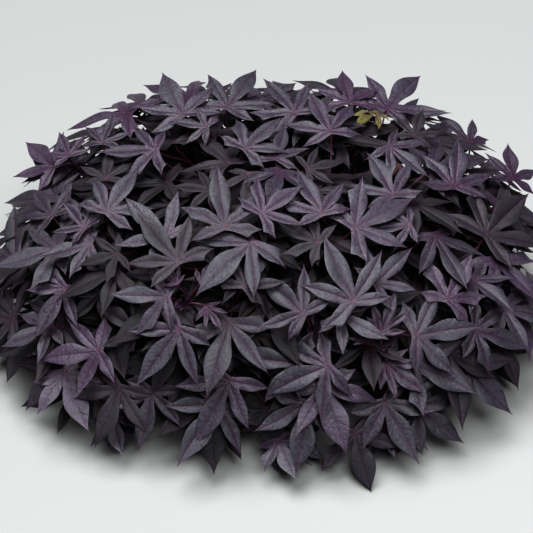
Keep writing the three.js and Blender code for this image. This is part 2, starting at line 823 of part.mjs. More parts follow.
// Whether a leaf is clear of the ground, of all other leaves and of every vine but its own.
function isClear(leaf) {
  const blade = leafGeometry(leaf, { extra: LEAF_CLEARANCE, withPetiole: false });
  if (blade.boundingBox.min.z < GROUND_GAP || touches(blade, () => true)) return false;
  if (crossesItself(leaf)) return false;
  const petiole = petioleGeometry(leaf, LEAF_CLEARANCE);
  const matters = (other) => other.kind !== 'vine' || other.owner !== leaf.vine;
  return petiole.boundingBox.min.z >= GROUND_GAP && !touches(petiole, matters);
}

function keepLeaf(leaf, owner) {
  keep(leafGeometry(leaf, { withPetiole: false }), owner, 'blade');
  keep(petioleGeometry(leaf), owner, 'petiole');
  return solidOf(leafGeometry(leaf));
}

// Seats a leaf at its first clear try and joins it to its vine. One that finds no seat is left out.
function seatLeaf(nominal, ways) {
  for (let attempt = 0; attempt < ways.tries; attempt += 1) {
    const leaf = tryLeaf(nominal, attempt, ways);
    if (!leaf || !isClear(leaf)) continue;
    leaf.place.taken = true;
    leaf.vine.solid = leaf.vine.solid.add(keepLeaf(leaf, leaf.vine));
    return;
  }
}

const pointedNormal = ({ x, y }) => mix([0.6, moundOutward(x, y)], [0.4, UP]);

// A leaf of the given age that points from one place to another and roots at a given point.
function pointedLeaf(from, to, age, seed, root) {
  const normal = pointedNormal(from);
  const reach = to.clone().sub(from);
  const length = reach.length();
  const along = reach.addScaledVector(normal, -reach.dot(normal)).normalize();
  return { form: leafForm(seed, age), junction: from, along, normal, length, root };
}

// Young growth on the end of a vine: a short stalk, face to face with the vine's end, and its leaves.
function shootSolid({ leaves }, vine, shootIndex) {
  const direction = bezierDirection(vine.curve, 1);
  const alongStalk = (reach) => vine.curve[3].clone().addScaledVector(direction, SEAT_GAP + reach);
  const stalk = barGeometry(
    [0, 1, 2, 3].map((step) => alongStalk((step / 3) * STALK_LENGTH)),
    VINE_TIP_RADIUS,
    PETIOLE_ROOT_RADIUS,
    VINE_SIDES,
    1,
    UP,
    direction,
  );
  keep(stalk, 'shoot', 'stalk');
  return leaves.reduce((solid, [from, to], index) => {
    const root = alongStalk(STALK_PLACES[index] * STALK_LENGTH);
    const seed = YOUNG_SEED + SEED_STEP * shootIndex + index;
    return solid.add(keepLeaf(pointedLeaf(from, to, YOUNG, seed, root), 'shoot'));
  }, solidOf(stalk));
}

// An old leaf hangs on by a petiole whose foot ends just clear of its vine.
function oldLeafSolid({ from, to }, index) {
  const [{ vine, place }] = rootChoices(from, pointedNormal(from));
  place.taken = true;
  const leaf = pointedLeaf(from, to, FADED, OLD_SEED + SEED_STEP * index, place.point);
  return keepLeaf(leaf, 'old').subtract(solidOf(vineGeometry(vine.curve, SEAT_GAP)));
}

for (const vine of vines) keep(vineGeometry(vine.curve), vine, 'vine');
const shoots = SHOOTS.map((shoot, index) =>
  shootSolid(shoot, vines[vines.length - SHOOTS.length + index], index),
);
const oldLeaves = OLD_LEAVES.map(oldLeafSolid);
SET_LEAVES.forEach((row, index) => seatLeaf(setLeaf(row, index), SLIDE));
for (let index = 0; index < SPIRAL_LEAVES; index += 1) seatLeaf(spiralLeaf(index), SINK);

// ---- The crown ---------------------------------------------------------------------------------

// A gnarled stub with a flat underside. Extra size gives the room that is left round it.
function crownSolid(extra) {
  const outline = CROWN_PROFILE.map(
    ([radius, height]) =>
      new THREE.Vector2(radius > 0 ? radius + extra : 0, height > 0 ? height + extra : -extra),
  );
  const lathe = new THREE.LatheGeometry(outline, CROWN_SIDES);
  lathe.rotateX(Math.PI / 2);
  lathe.deleteAttribute('normal');
  lathe.deleteAttribute('uv');
  return solidOf(mergeVertices(lathe));
}

function groundSolid() {
  const block = new THREE.BoxGeometry(3000, 3000, 100);
  block.translate(0, 0, -50);
  block.deleteAttribute('normal');
  block.deleteAttribute('uv');
  return solidOf(mergeVertices(block));
}

// ---- The assembly ------------------------------------------------------------------------------

const FINISHES = {
  bark: { color: 0x4b3b35, roughness: 0.85, metalness: 0 },
  dark: { color: 0x3b3442, roughness: 0.55, metalness: 0 },
  young: { color: 0x6b3350, roughness: 0.5, metalness: 0 },
  yellow: { color: 0x8d9440, roughness: 0.6, metalness: 0 },
  olive: { color: 0x6f6a3a, roughness: 0.6, metalness: 0 },
  brown: { color: 0x8a5633, roughness: 0.65, metalness: 0 },
};

function meshOf(solid, name, finish) {
  const { vertProperties, triVerts } = solid.getMesh();
  const geometry = new THREE.BufferGeometry();
  geometry.setAttribute('position', new THREE.BufferAttribute(vertProperties, 3));
  geometry.setIndex(new THREE.BufferAttribute(triVerts, 1));
  geometry.computeVertexNormals();
  const mesh = new THREE.Mesh(geometry, new THREE.MeshStandardMaterial(FINISHES[finish]));
  mesh.name = name;
  return mesh;
}

const plant = new THREE.Group();
plant.name = 'sweet_potato_vine';
plant.add(meshOf(crownSolid(0), 'crown', 'bark'));
const crownRoom = crownSolid(SEAT_GAP);
const ground = groundSolid();
for (const { name, solid } of vines) {
  plant.add(meshOf(solid.subtract(crownRoom).subtract(ground), name, 'dark'));
}
shoots.forEach((solid, index) => plant.add(meshOf(solid, `young_shoot_${index + 1}`, 'young')));
oldLeaves.forEach((solid, index) => {
  plant.add(meshOf(solid, `faded_leaf_${index + 1}`, OLD_LEAVES[index].finish));
});
export default plant;
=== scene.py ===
# %% [markdown]
# # A dark sweet potato vine, leaf by leaf
# An ornamental sweet potato vine is a low mound of leaves on long stalks. Every leaf is cut almost to
# its heart into five pointed lobes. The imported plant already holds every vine, stalk and leaf as plain
# faceted solids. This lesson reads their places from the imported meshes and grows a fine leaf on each
# one: folded along its ribs, veined, thin at the edge. Then it covers the ends of the vines and fills
# the shade inside the mound with more leaves.
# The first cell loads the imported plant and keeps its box, because the fine plant has to fit into it.

import json
import math
import random
from itertools import combinations

import bmesh
import bpy
import numpy as np
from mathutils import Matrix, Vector

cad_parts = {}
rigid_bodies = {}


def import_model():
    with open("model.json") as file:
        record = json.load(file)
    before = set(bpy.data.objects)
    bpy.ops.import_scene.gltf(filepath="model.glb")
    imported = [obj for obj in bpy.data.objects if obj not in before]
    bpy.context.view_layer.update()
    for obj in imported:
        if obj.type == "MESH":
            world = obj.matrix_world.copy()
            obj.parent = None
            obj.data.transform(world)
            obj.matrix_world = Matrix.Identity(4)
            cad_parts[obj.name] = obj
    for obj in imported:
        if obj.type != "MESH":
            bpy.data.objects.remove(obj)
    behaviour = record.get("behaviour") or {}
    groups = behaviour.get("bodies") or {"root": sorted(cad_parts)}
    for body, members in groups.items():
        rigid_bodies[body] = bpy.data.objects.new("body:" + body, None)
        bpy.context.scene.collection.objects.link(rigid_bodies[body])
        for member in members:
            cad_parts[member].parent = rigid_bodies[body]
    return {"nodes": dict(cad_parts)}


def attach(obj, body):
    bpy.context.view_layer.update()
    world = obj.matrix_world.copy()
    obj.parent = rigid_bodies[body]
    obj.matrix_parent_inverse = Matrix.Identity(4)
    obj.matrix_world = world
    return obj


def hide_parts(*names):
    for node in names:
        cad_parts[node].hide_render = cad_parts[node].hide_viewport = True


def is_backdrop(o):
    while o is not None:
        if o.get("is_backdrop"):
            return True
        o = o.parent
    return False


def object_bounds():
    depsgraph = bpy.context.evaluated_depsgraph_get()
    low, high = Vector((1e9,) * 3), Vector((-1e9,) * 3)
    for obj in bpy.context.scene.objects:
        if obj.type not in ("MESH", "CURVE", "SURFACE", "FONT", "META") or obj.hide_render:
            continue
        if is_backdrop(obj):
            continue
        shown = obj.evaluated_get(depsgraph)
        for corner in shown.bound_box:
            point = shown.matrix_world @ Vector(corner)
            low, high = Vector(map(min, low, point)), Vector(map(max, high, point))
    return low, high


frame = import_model()
CAD_BOX = [list(corner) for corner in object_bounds()]
MM = 0.001
print("nodes:", len(frame["nodes"]), "box in mm:", [[round(v / MM) for v in c] for c in CAD_BOX])

# %% [markdown]
# The camera looks down on the mound from the front at 42 degrees. A long lens from more than two
# metres away keeps the leaves at the far side nearly as large as those in front. It is set first,
# because all later choices are judged through it.

# %% Set up the camera
SIGHT_CENTRE = np.array([0.0, 0.0, 0.105])
SIGHT_ELEVATION = math.radians(42)
SIGHT_DISTANCE = 2.22
SIGHT_BACK = np.array([0.0, -math.cos(SIGHT_ELEVATION), math.sin(SIGHT_ELEVATION)])


def aim(item, target):
    """Turns a camera or light so that it looks at a point."""
    item.rotation_euler = (Vector(target) - item.location).to_track_quat("-Z", "Y").to_euler()


lens = bpy.data.cameras.new("camera")
lens.lens = 100
lens.sensor_width = 36
camera = bpy.data.objects.new("camera", lens)
camera.location = SIGHT_CENTRE + SIGHT_BACK * SIGHT_DISTANCE
aim(camera, SIGHT_CENTRE)
bpy.context.scene.collection.objects.link(camera)
bpy.context.scene.camera = camera
print("camera at", [round(v, 3) for v in camera.location])

# %% [markdown]
# Soft daylight on a garden plant comes from above. A sun as wide and soft as a bright patch of cloud
# stands high, a little behind and to the left of the plant, so that the satin of the leaves shines
# towards the viewer. A panel in front lights the leaves that hang down there. The world itself gives
# only a little light, because in a dense mound hardly any of the sky reaches the leaves in the
# middle. A tone curve with high contrast keeps those gaps as deep as the eye sees them on a bright day.

# %% Light the plant softly
SKY, SKY_STRENGTH = (0.92, 0.86, 0.97, 1.0), 0.1
DAYLIGHT = (0.94, 0.98, 1.0)
world = bpy.data.worlds.new("sky")
world.use_nodes = True
background = world.node_tree.nodes["Background"]
background.inputs["Color"].default_value = SKY
background.inputs["Strength"].default_value = SKY_STRENGTH
bpy.context.scene.world = world


def shine(name, kind, place, power, settings):
    """A soft light that looks from a place at the middle of the plant."""
    light = bpy.data.lights.new(name, kind)
    light.energy = power
    light.color = DAYLIGHT
    for setting, value in settings.items():
        setattr(light, setting, value)
    lamp = bpy.data.objects.new(name, light)
    lamp.location = place
    aim(lamp, (0, 0, 0.15))
    bpy.context.scene.collection.objects.link(lamp)


shine("high_daylight", "SUN", (-0.5, 0.3, 2.7), 4.1, {"angle": math.radians(38)})
shine("front_panel", "AREA", (0.5, -1.5, 2.6), 54, {"size": 1.2})
bpy.context.scene.view_settings.view_transform = "Standard"
bpy.context.scene.view_settings.look = "High Contrast"

# %% [markdown]
# Materials are written as sums. The small class below wraps one output of a material's node tree, so
# that `1 - rib * 0.4` adds the Math nodes that work it out. Colours are never put through a Math
# node, which would turn them grey: they are mixed by `between`. Every kind of node is made by the one
# method `node`.

# %% A wrapper for shader sockets
BUMP_STRENGTH, USUAL_REFLECTION = 0.5, 0.5


class Wire:
    """One output socket of a material's nodes, with operators that add Math nodes."""

    def __init__(self, tree, socket=None):
        self.tree = tree
        self.socket = socket

    def node(self, kind, settings, inputs, output=0):
        made = self.tree.nodes.new(kind)
        for name, value in settings.items():
            setattr(made, name, value)
        for name, value in inputs.items():
            if isinstance(value, Wire):
                self.tree.links.new(value.socket, made.inputs[name])
            else:
                made.inputs[name].default_value = value
        return Wire(self.tree, made.outputs[output])

    def math(self, operation, *values):
        return self.node("ShaderNodeMath", {"operation": operation}, dict(enumerate(values)))

    def __add__(self, other):
        return self.math("ADD", self, other)

    def __radd__(self, other):
        return self.math("ADD", other, self)

    def __sub__(self, other):
        return self.math("SUBTRACT", self, other)

    def __rsub__(self, other):
        return self.math("SUBTRACT", other, self)

    def __mul__(self, other):
        return self.math("MULTIPLY", self, other)

    def __rmul__(self, other):
        return self.math("MULTIPLY", other, self)

    def __truediv__(self, other):
        return self.math("DIVIDE", self, other)

    def __abs__(self):
        return self.math("ABSOLUTE", self)

    def step(self, start, end):
        """0 below start, 1 above end, and a soft rise between them."""
        return self.node(
            "ShaderNodeMapRange",
            {"interpolation_type": "SMOOTHSTEP"},
            {"Value": self, "From Min": start, "From Max": end},
        )

    def between(self, low, high):
        """The colour that goes from low to high as this value goes from 0 to 1."""
        return self.node(
            "ShaderNodeMix", {"data_type": "RGBA"}, {0: self, 6: low, 7: high}, output=2
        )

    def noise(self, scale, detail=2.0):
        """A cloudy pattern over the places that this wire gives."""
        return self.node("ShaderNodeTexNoise", {}, {0: self, "Scale": scale, "Detail": detail})

    def bump(self, distance):
        """The bent normal of a surface whose height is this wire, as a share of a distance."""
        inputs = {"Strength": BUMP_STRENGTH, "Distance": distance, "Height": self}
        return self.node("ShaderNodeBump", {}, inputs)


def shade(red, green, blue):
    """A colour as it shows on a screen, from 0 to 255, as the shader wants it."""
    parts = [v / 255 for v in (red, green, blue)]
    return tuple(v / 12.92 if v <= 0.04045 else ((v + 0.055) / 1.055) ** 2.4 for v in parts) + (1,)


print("pale mauve is", [round(v, 3) for v in shade(120, 105, 125)])

# %% [markdown]
# Each corner of a mesh says where it lies. On a leaf, the first three numbers are how far along its
# lobe it is, how far across from the midrib, both in millimetres, and where between midrib and edge.
# The next three are the tint, whether it is on the underside, and how far it is from the leaf's heart.
# On a stem they are the distance along it, the place round it and how young it is.


# %% Read what the corners say
def begin_skin(name):
    """A new material, six wires with what each corner says, and one with its place."""
    material = bpy.data.materials.new(name)
    material.use_nodes = True
    start = Wire(material.node_tree)
    said = []
    for label in ("rib_place", "leaf_mark"):
        vector = start.node("ShaderNodeAttribute", {"attribute_name": label}, {}, "Vector")
        said += [start.node("ShaderNodeSeparateXYZ", {}, {0: vector}, axis) for axis in range(3)]
    return material, said, start.node("ShaderNodeTexCoord", {}, {}, "Object")


def end_skin(material, colour, rough, bump, reflection=USUAL_REFLECTION):
    """Joins the finished wires to the material's shader."""
    tree = material.node_tree
    shader = tree.nodes["Principled BSDF"]
    for socket, wire in (("Base Color", colour), ("Roughness", rough), ("Normal", bump)):
        tree.links.new(wire.socket, shader.inputs[socket])
    shader.inputs["Specular IOR Level"].default_value = reflection
    return material


# %% [markdown]
# A leaf has a midrib in each lobe, side veins that slant forward from it, and a fine net between them.
# A repeating ramp of the distance along the lobe draws all side veins at once: it is pushed on with the
# distance from the midrib, so that they slant, and by half a step on one side, so that the veins of the
# two halves alternate. They stay sharp from near by, where a painted leaf would blur. Their spacing is
# in millimetres on a leaf of full length.

# %% Draw the veins
FULL_LENGTH = 105
VEIN_SPACING, VEIN_SWEEP, VEIN_WANDER, WANDER_SCALE = 8.2, 9.5, 1.1, 60.0
VEIN_EDGE, VEIN_END = (0.76, 1.0), (0.75, 1.0)
HEART_REACH, RIB_EDGE, HEART_RIB_WIDENING = (3.0, 40.0), (0.15, 0.75), 0.4
NET_SCALE, NET_WIDTH = 330.0, (0.02, 0.16)


def leaf_marks(along, across, edge, heart, where):
    """Shares from 0 to 1 that say where on a leaf its heart, midribs, veins and net are."""
    aside = abs(across)
    near_heart = 1 - heart.step(*HEART_REACH)
    midrib = 1 - (aside - near_heart * HEART_RIB_WIDENING).step(*RIB_EDGE)
    wander = (where.noise(WANDER_SCALE) - 0.5) * VEIN_WANDER
    other_half = across.math("GREATER_THAN", across, 0.0)
    phase = along / VEIN_SPACING - aside / VEIN_SWEEP + wander + other_half * 0.5
    saw = abs(phase.math("FRACT", phase) - 0.5) * 2
    veins = saw.step(*VEIN_EDGE) * (1 - abs(edge).step(*VEIN_END))
    net = where.node(
        "ShaderNodeTexVoronoi", {"feature": "DISTANCE_TO_EDGE"}, {0: where, "Scale": NET_SCALE}
    )
    return near_heart, midrib, saw, veins, 1 - net.step(*NET_WIDTH)


print("side veins on each half of a full main lobe:", int(FULL_LENGTH / VEIN_SPACING))

# %% [markdown]
# Above, a leaf is slate with a breath of mauve, wine red along its ribs, finely blistered and flecked,
# with a rosy spot at the heart. Below it is maroon. The tint of a leaf goes from 1, young and purple,
# past 0, grown and slate, to -1, nearly black with painted shade. The layers are mixed one over the
# other, as a painter would glaze them, so each can be changed on its own.

# %% Make the leaf skins
CLOUD_SCALE, BLISTER_SCALE, FLECK_SCALE, GRAIN_SCALE = 30.0, 190.0, 330.0, 600.0
GRAIN_TONE, FLECK_TONE, HEART_TONE = shade(16, 13, 18), shade(112, 103, 118), shade(56, 32, 54)
BLISTER_TONE, VEIN_TONE, SPOT_TONE = shade(27, 21, 29), shade(34, 20, 32), shade(98, 46, 74)
# Nearly black slate and wine for painted shade on leaves far under the mound's surface.
PAINTED_SHADE_SLATE, PAINTED_SHADE_WINE = shade(18, 13, 18), shade(28, 13, 22)
LEAF_RELIEF, LEAF_REFLECTION = 0.0012, 0.4
LEAF_TONES = {
    "dark_leaf": ((57, 54, 63), (71, 54, 72), (50, 20, 42), (44, 18, 33), 0.42),
    "young_leaf": ((60, 53, 64), (72, 54, 72), (70, 28, 52), (56, 30, 46), 0.42),
    "yellow_leaf": ((98, 96, 36), (126, 108, 48), (92, 56, 38), (92, 88, 40), 0.5),
    "olive_leaf": ((92, 92, 40), (116, 104, 50), (86, 54, 40), (88, 80, 44), 0.55),
    "brown_leaf": ((92, 52, 32), (112, 70, 40), (64, 36, 28), (88, 56, 38), 0.65),
}


def leaf_skin(name, slate, mauve, rib_tone, under, roughness):
    """A material for leaves with midribs, side veins, a fine net, a maroon underside and painted shade.
    """
    material, (along, across, edge, tint, below, heart), where = begin_skin(name)
    near_heart, midrib, saw, veins, net = leaf_marks(along, across, edge, heart, where)
    cloud = where.noise(CLOUD_SCALE)
    grain = where.noise(GRAIN_SCALE, 3.0)
    fleck = where.noise(FLECK_SCALE, 3.0)
    blister = where.noise(BLISTER_SCALE, 4.0)

    warmth = (tint * 0.75 + (cloud - 0.5) * 0.9).step(0.0, 1.0)
    top = warmth.between(slate, mauve)
    top = ((grain - 0.35) * 0.6).between(top, GRAIN_TONE)
    top = (fleck.step(0.55, 0.75) * 0.4).between(top, FLECK_TONE)
    along_rib = (1 - abs(across).step(0.5, 6.0)) * 0.4
    top = along_rib.between(top, mauve)
    top = (near_heart * 0.6).between(top, HEART_TONE)
    top = (blister.step(0.47, 0.72) * 0.7).between(top, BLISTER_TONE)
    top = (veins * 0.36).between(top, VEIN_TONE)
    top = (abs(edge).step(0.9, 1.0) * 0.35).between(top, mauve)
    top = (midrib * 0.85).between(top, rib_tone)
    # Below 0 the tint draws painted shade: the colour turns towards nearly black slate and wine, for
    # leaves far under the mound's surface and for some in the light by chance, and the leaf grows
    # rougher.
    painted_shade = (0 - tint).step(0.0, 1.0)
    shaded = cloud.step(0.4, 0.6).between(PAINTED_SHADE_SLATE, PAINTED_SHADE_WINE)
    top = (painted_shade * 0.95).between(top, shaded)
    spot = 1 - heart.step(1.0, 3.0)
    top = (spot * 0.45).between(top, SPOT_TONE)

    pale = veins.math("MAXIMUM", veins * 0.5, midrib)
    back = (cloud * 0.6).between(under, slate)
    back = (pale * 0.6).between(back, rib_tone)
    colour = below.between(top, back)
    swell = 1 - saw * saw
    relief = swell * 0.1 - veins * 0.18 - net * 0.25 - blister * 0.9 + grain * 0.2 + cloud * 0.6
    rough = (grain - 0.5) * 0.22 + roughness + below * 0.12 + painted_shade * 0.2 + cloud * 0.08 - 0.04
    return end_skin(material, colour, rough, relief.bump(LEAF_RELIEF), LEAF_REFLECTION)


LEAF_SKINS = {}
for name, (*tones, roughness) in LEAF_TONES.items():
    LEAF_SKINS[name] = leaf_skin(name, *[shade(*tone) for tone in tones], roughness)
print("leaf skins:", list(LEAF_SKINS))

# %% [markdown]
# Stalks and vines have one skin: nearly black purple on the old vines, wine red on the young stalks
# that carry the leaves, with fine streaks along them. The streaks are a cloudy pattern that is drawn
# out along the stem. The crown has the same skin in the colours of old bark.

# %% Make the stem and bark skins
STREAK_LENGTH, STREAK_TURNS, SPECK_SCALE, STEM_RELIEF = 0.03, 4.0, 500.0, 0.0006
SPECK_TONE = shade(120, 86, 96)


def stem_skin(name, old, young, roughness):
    """A material for stems with streaks along them and pale specks."""
    material, (along, around, _, youth, _, _), where = begin_skin(name)
    drawn_out = {"X": along * STREAK_LENGTH, "Y": around * STREAK_TURNS, "Z": 0.0}
    streaks = where.node("ShaderNodeCombineXYZ", {}, drawn_out).noise(2.2, 3.0)
    specks = where.noise(SPECK_SCALE)
    colour = youth.between(old, young)
    colour = (streaks.step(0.42, 0.7) * 0.5).between(colour, old)
    colour = (specks.step(0.58, 0.75) * 0.35).between(colour, SPECK_TONE)
    rough = (streaks - 0.5) * 0.3 + roughness
    return end_skin(material, colour, rough, (streaks + specks * 0.3).bump(STEM_RELIEF))


DARK_STEM = stem_skin("dark_stem", shade(34, 20, 28), shade(72, 25, 44), 0.5)
FADED_STEM = stem_skin("faded_stem", shade(84, 62, 44), shade(120, 84, 66), 0.6)
BARK = stem_skin("bark", shade(58, 46, 40), shade(96, 78, 66), 0.85)
print("materials:", len(bpy.data.materials))

# %% [markdown]
# All sizes from here on are in millimetres. Seen from above, the mound is an oval drawn a little
# towards a rectangle, and deeper behind than in front. Its surface is nearly level in the middle and
# falls steeply at the rim. It is written as two formulas instead of a mesh, because later steps only
# ask how far out its rim is, how deep below it a leaf stands and which way is outwards there.

# %% Describe the mound
MOUND_HALF_WIDTH, MOUND_FRONT, MOUND_BACK, MOUND_HEIGHT = 410, 300, 340, 325
MOUND_SQUARENESS, MOUND_SHOULDER, MOUND_FALL = 2.6, 1.15, 0.55
UP = np.array([0.0, 0.0, 1.0])


def unit(vector):
    """The same direction, with a length of one."""
    return vector / np.linalg.norm(vector)


def mound_share(x, y):
    """0 at the middle of the mound, 1 at its rim and more outside."""
    depth = MOUND_FRONT if y < 0 else MOUND_BACK
    return abs(x / MOUND_HALF_WIDTH) ** MOUND_SQUARENESS + abs(y / depth) ** MOUND_SQUARENESS


def mound_top(x, y):
    """The height of the mound's surface over a place on the ground."""
    inside = max(0.0, 1 - mound_share(x, y) ** MOUND_SHOULDER)
    return MOUND_HEIGHT * inside**MOUND_FALL


def outward_at(x, y):
    """Which way the mound's surface faces over a place on the ground."""
    fall_x = mound_top(x - 1, y) - mound_top(x + 1, y)
    fall_y = mound_top(x, y - 1) - mound_top(x, y + 1)
    return unit(np.array([fall_x, fall_y, 2.0]))


def in_plan(turn, share, height):
    """A point at a share of the way from the middle of the mound to its rim."""
    angle = math.radians(turn)
    reach = share * mound_share(math.cos(angle), math.sin(angle)) ** (-1 / MOUND_SQUARENESS)
    return np.array([reach * math.cos(angle), reach * math.sin(angle), height])


heights = [round(mound_top(*in_plan(0, share, 0)[:2])) for share in (0, 0.3, 0.6, 0.9, 1)]
print("the mound's height from its middle to its rim in mm:", heights)

# %% [markdown]
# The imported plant's vines got their sway from a small stream of numbers. The fine vines have to run
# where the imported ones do, so they need the very same numbers, and the stream is written out here
# instead of taken from Python's own.

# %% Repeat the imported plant's numbers
WORD, STREAM_STEP, VINE_SEED = 0xFFFFFFFF, 0x6D2B79F5, 4000


def draws(seed):
    """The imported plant's stream of numbers from 0 to 1."""
    state = seed & WORD
    while True:
        state = (state + STREAM_STEP) & WORD
        mixed = ((state ^ (state >> 15)) * (state | 1)) & WORD
        mixed ^= (mixed + ((mixed ^ (mixed >> 7)) * (mixed | 61))) & WORD
        yield ((mixed ^ (mixed >> 14)) & WORD) / (WORD + 1)


print("the first vine's first number:", round(next(draws(VINE_SEED)), 4))

# %% [markdown]
# The vines run hidden under the leaves. Three rings of vines leave the crown, and five more end in
# young shoots. Each is one cubic curve, the plainest line that can rise, arch and come down again. A
# ring is how many vines there are, the first one's turn, the reach and height of the root on the crown,
# and the route as shares of the way to the rim with a height at each.

# %% Draw the vines' centre lines
VINE_RINGS = (
    (8, 42, (22, 12), ((0.3, 150), (0.68, 1.7), (0.93, 1.7))),
    (8, 20, (21, 24), ((0.16, 190), (0.5, 240), (0.76, 115))),
    (4, 60, (10, 40), ((0.09, 130), (0.17, 215), (0.38, 225))),
)
SHOOT_VINES = (
    (222, (-100.65, -193.61, 226.12)),
    (313, (148.75, -226.87, 161.60)),
    (357, (325.00, -72.00, 140.80)),
    (132, (-190.00, 215.00, 220.06)),
    (43, (210.00, 200.00, 222.72)),
)
SHOOT_ROOT, SHOOT_NEAR, SHOOT_FAR, SHOOT_NEAR_HEIGHT, SHOOT_FAR_RISE = (21, 24), 0.22, 0.72, 150, 10
RING_SEEDS, VINE_SWAY, VINE_LONGER, VINE_HIGHER = 100, 22, 0.1, 0.16
VINE_ROOT_RADIUS, VINE_TIP_RADIUS = 3.6, 2.3
ROOT_PLACES = np.linspace(0.24, 0.985, 17)


def on_crown(turn, root):
    """Where a vine leaves the crown, for a root given as a reach and a height."""
    angle = math.radians(turn)
    return np.array([root[0] * math.cos(angle), root[0] * math.sin(angle), root[1]])


def vine_curves():
    """The four points of each vine's cubic curve."""
    for ring, (count, first_turn, root, route) in enumerate(VINE_RINGS):
        for index in range(count):
            draw = draws(VINE_SEED + RING_SEEDS * ring + index)
            turn = first_turn + 360 * index / count
            sway = VINE_SWAY * (next(draw) - 0.5)
            curve = [on_crown(turn, root)]
            for step, (share, height) in enumerate(route):
                longer = 1 + VINE_LONGER * (next(draw) - 0.5)
                off_ground = height > VINE_ROOT_RADIUS
                higher = 1 + VINE_HIGHER * (next(draw) - 0.5) if off_ground else 1
                curve.append(in_plan(turn + sway * step / 2, share * longer, height * higher))
            yield np.array(curve)
    for turn, (x, y, z) in SHOOT_VINES:
        near = np.array([x * SHOOT_NEAR, y * SHOOT_NEAR, SHOOT_NEAR_HEIGHT])
        far = np.array([x * SHOOT_FAR, y * SHOOT_FAR, z + SHOOT_FAR_RISE])
        yield np.array([on_crown(turn, SHOOT_ROOT), near, far, (x, y, z)])


def on_curve(curve, t):
    """Points of a cubic curve at the shares t of its run."""
    t = np.asarray(t, dtype=float)[..., None]
    rest = 1 - t
    return (
        curve[0] * rest**3
        + curve[1] * 3 * rest**2 * t
        + curve[2] * 3 * rest * t**2
        + curve[3] * t**3
    )


VINES = {f"vine_{i + 1:02d}": curve for i, curve in enumerate(vine_curves())}
PLACES = {name: on_curve(curve, ROOT_PLACES) for name, curve in VINES.items()}
print("vines:", len(VINES), "longest reach in mm:", round(max(abs(c[3, 0]) for c in VINES.values())))
print("places where a petiole can root:", sum(len(places) for places in PLACES.values()))

# %% [markdown]
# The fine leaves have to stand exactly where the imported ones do. Their places could be typed in, but
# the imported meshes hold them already. In such a mesh, a lobe's tip is a corner with three neighbours,
# and from it the ridge of the lobe leads back to the leaf's centre, where ten edges meet. Only a corner
# that five such ridges lead to is a leaf's centre.

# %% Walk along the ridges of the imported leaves
LOBES = 5
CENTRE_NEIGHBOURS, LONGEST_RIDGE = 9, 5
SAME_CORNER = 2e-6


def corners_of(node):
    """The places of a mesh's corners in millimetres, and the neighbours of each."""
    work = bmesh.new()
    work.from_mesh(frame["nodes"][node].data)
    bmesh.ops.remove_doubles(work, verts=work.verts, dist=SAME_CORNER)
    work.verts.index_update()
    points = np.array([v.co for v in work.verts]) / MM
    near = [[e.other_vert(v).index for e in v.link_edges] for v in work.verts]
    work.free()
    return points, near


def ridge_from(tip, points, near):
    """The ridge from a lobe's tip to the leaf's centre, and the outline beside it."""
    gaps = []
    for rib in near[tip]:
        a, b = [n for n in near[tip] if n != rib]
        gaps.append((np.linalg.norm(points[rib] - (points[a] + points[b]) / 2), rib, (a, b)))
    _, rib, sides = min(gaps)
    chain = [tip, rib]
    while len(near[chain[-1]]) < CENTRE_NEIGHBOURS and len(chain) < LONGEST_RIDGE:
        heading = unit(points[chain[-1]] - points[chain[-2]])
        onward = [n for n in near[chain[-1]] if n not in chain and n not in sides]
        chain.append(max(onward, key=lambda n: unit(points[n] - points[chain[-1]]).dot(heading)))
    return chain, sides


def leaf_ridges(points, near):
    """The ridges and outlines of the lobes that lead to each corner where many edges meet."""
    lobes = {}
    for tip in range(len(points)):
        if len(near[tip]) != 3:
            continue
        chain, sides = ridge_from(tip, points, near)
        if len(near[chain[-1]]) >= CENTRE_NEIGHBOURS:
            lobes.setdefault(chain[-1], []).append((chain, sides))
    return {centre: found for centre, found in lobes.items() if len(found) == LOBES}


print("leaves on the first vine:", len(leaf_ridges(*corners_of("vine_01"))))

# %% [markdown]
# A leaf hangs on its petiole, which leaves the vine obliquely upwards and meets the blade from below.
# Nothing in the mesh says where on the vine it roots. But its curve follows from the leaf and the root,
# so each possible root is tried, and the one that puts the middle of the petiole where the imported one
# has it is right.

# %% Follow the petioles
PETIOLE_CORNER_REACH = 2.2
PETIOLE_LEAVE, PETIOLE_ARRIVE, FOOT_REACH = 0.36, 0.3, 4.2
LEAVE_UP, LEAVE_AHEAD, ARRIVE_UP, ARRIVE_AHEAD = 0.55, 0.75, 0.7, 0.5


def petiole_line(leaf, root):
    """The cubic curve of a petiole from the middle of its vine to the leaf's heart."""
    span = np.linalg.norm(leaf["heart"] - root)
    leave = unit(LEAVE_UP * UP + LEAVE_AHEAD * unit(leaf["heart"] - root))
    arrive = unit(ARRIVE_UP * leaf["normal"] + ARRIVE_AHEAD * leaf["along"])
    after_root = root + leave * span * PETIOLE_LEAVE
    before_heart = leaf["heart"] - arrive * span * PETIOLE_ARRIVE
    return np.array([root, after_root, before_heart, leaf["heart"]])


def middle_of_petiole(leaf, root):
    """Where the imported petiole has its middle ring, if it starts at this root."""
    span = np.linalg.norm(leaf["heart"] - root)
    first = FOOT_REACH / (3 * PETIOLE_LEAVE * span)
    return on_curve(petiole_line(leaf, root), first + (1 - first) / 2)


def petiole_corners(centre, points, near):
    """The petiole's three corners under a leaf's centre, and the three of its middle ring."""
    reach = np.linalg.norm(points - points[centre], axis=1)
    close = [n for n in np.flatnonzero(reach < PETIOLE_CORNER_REACH) if n != centre]
    known = {centre, *close, *near[centre]}
    choices = []
    for under in combinations(close, 3):
        ring = {n for corner in under for n in near[corner]} - known
        choices.append((len(ring), under, tuple(ring)))
    _, under, ring = min(choices)
    return list(under), list(ring)


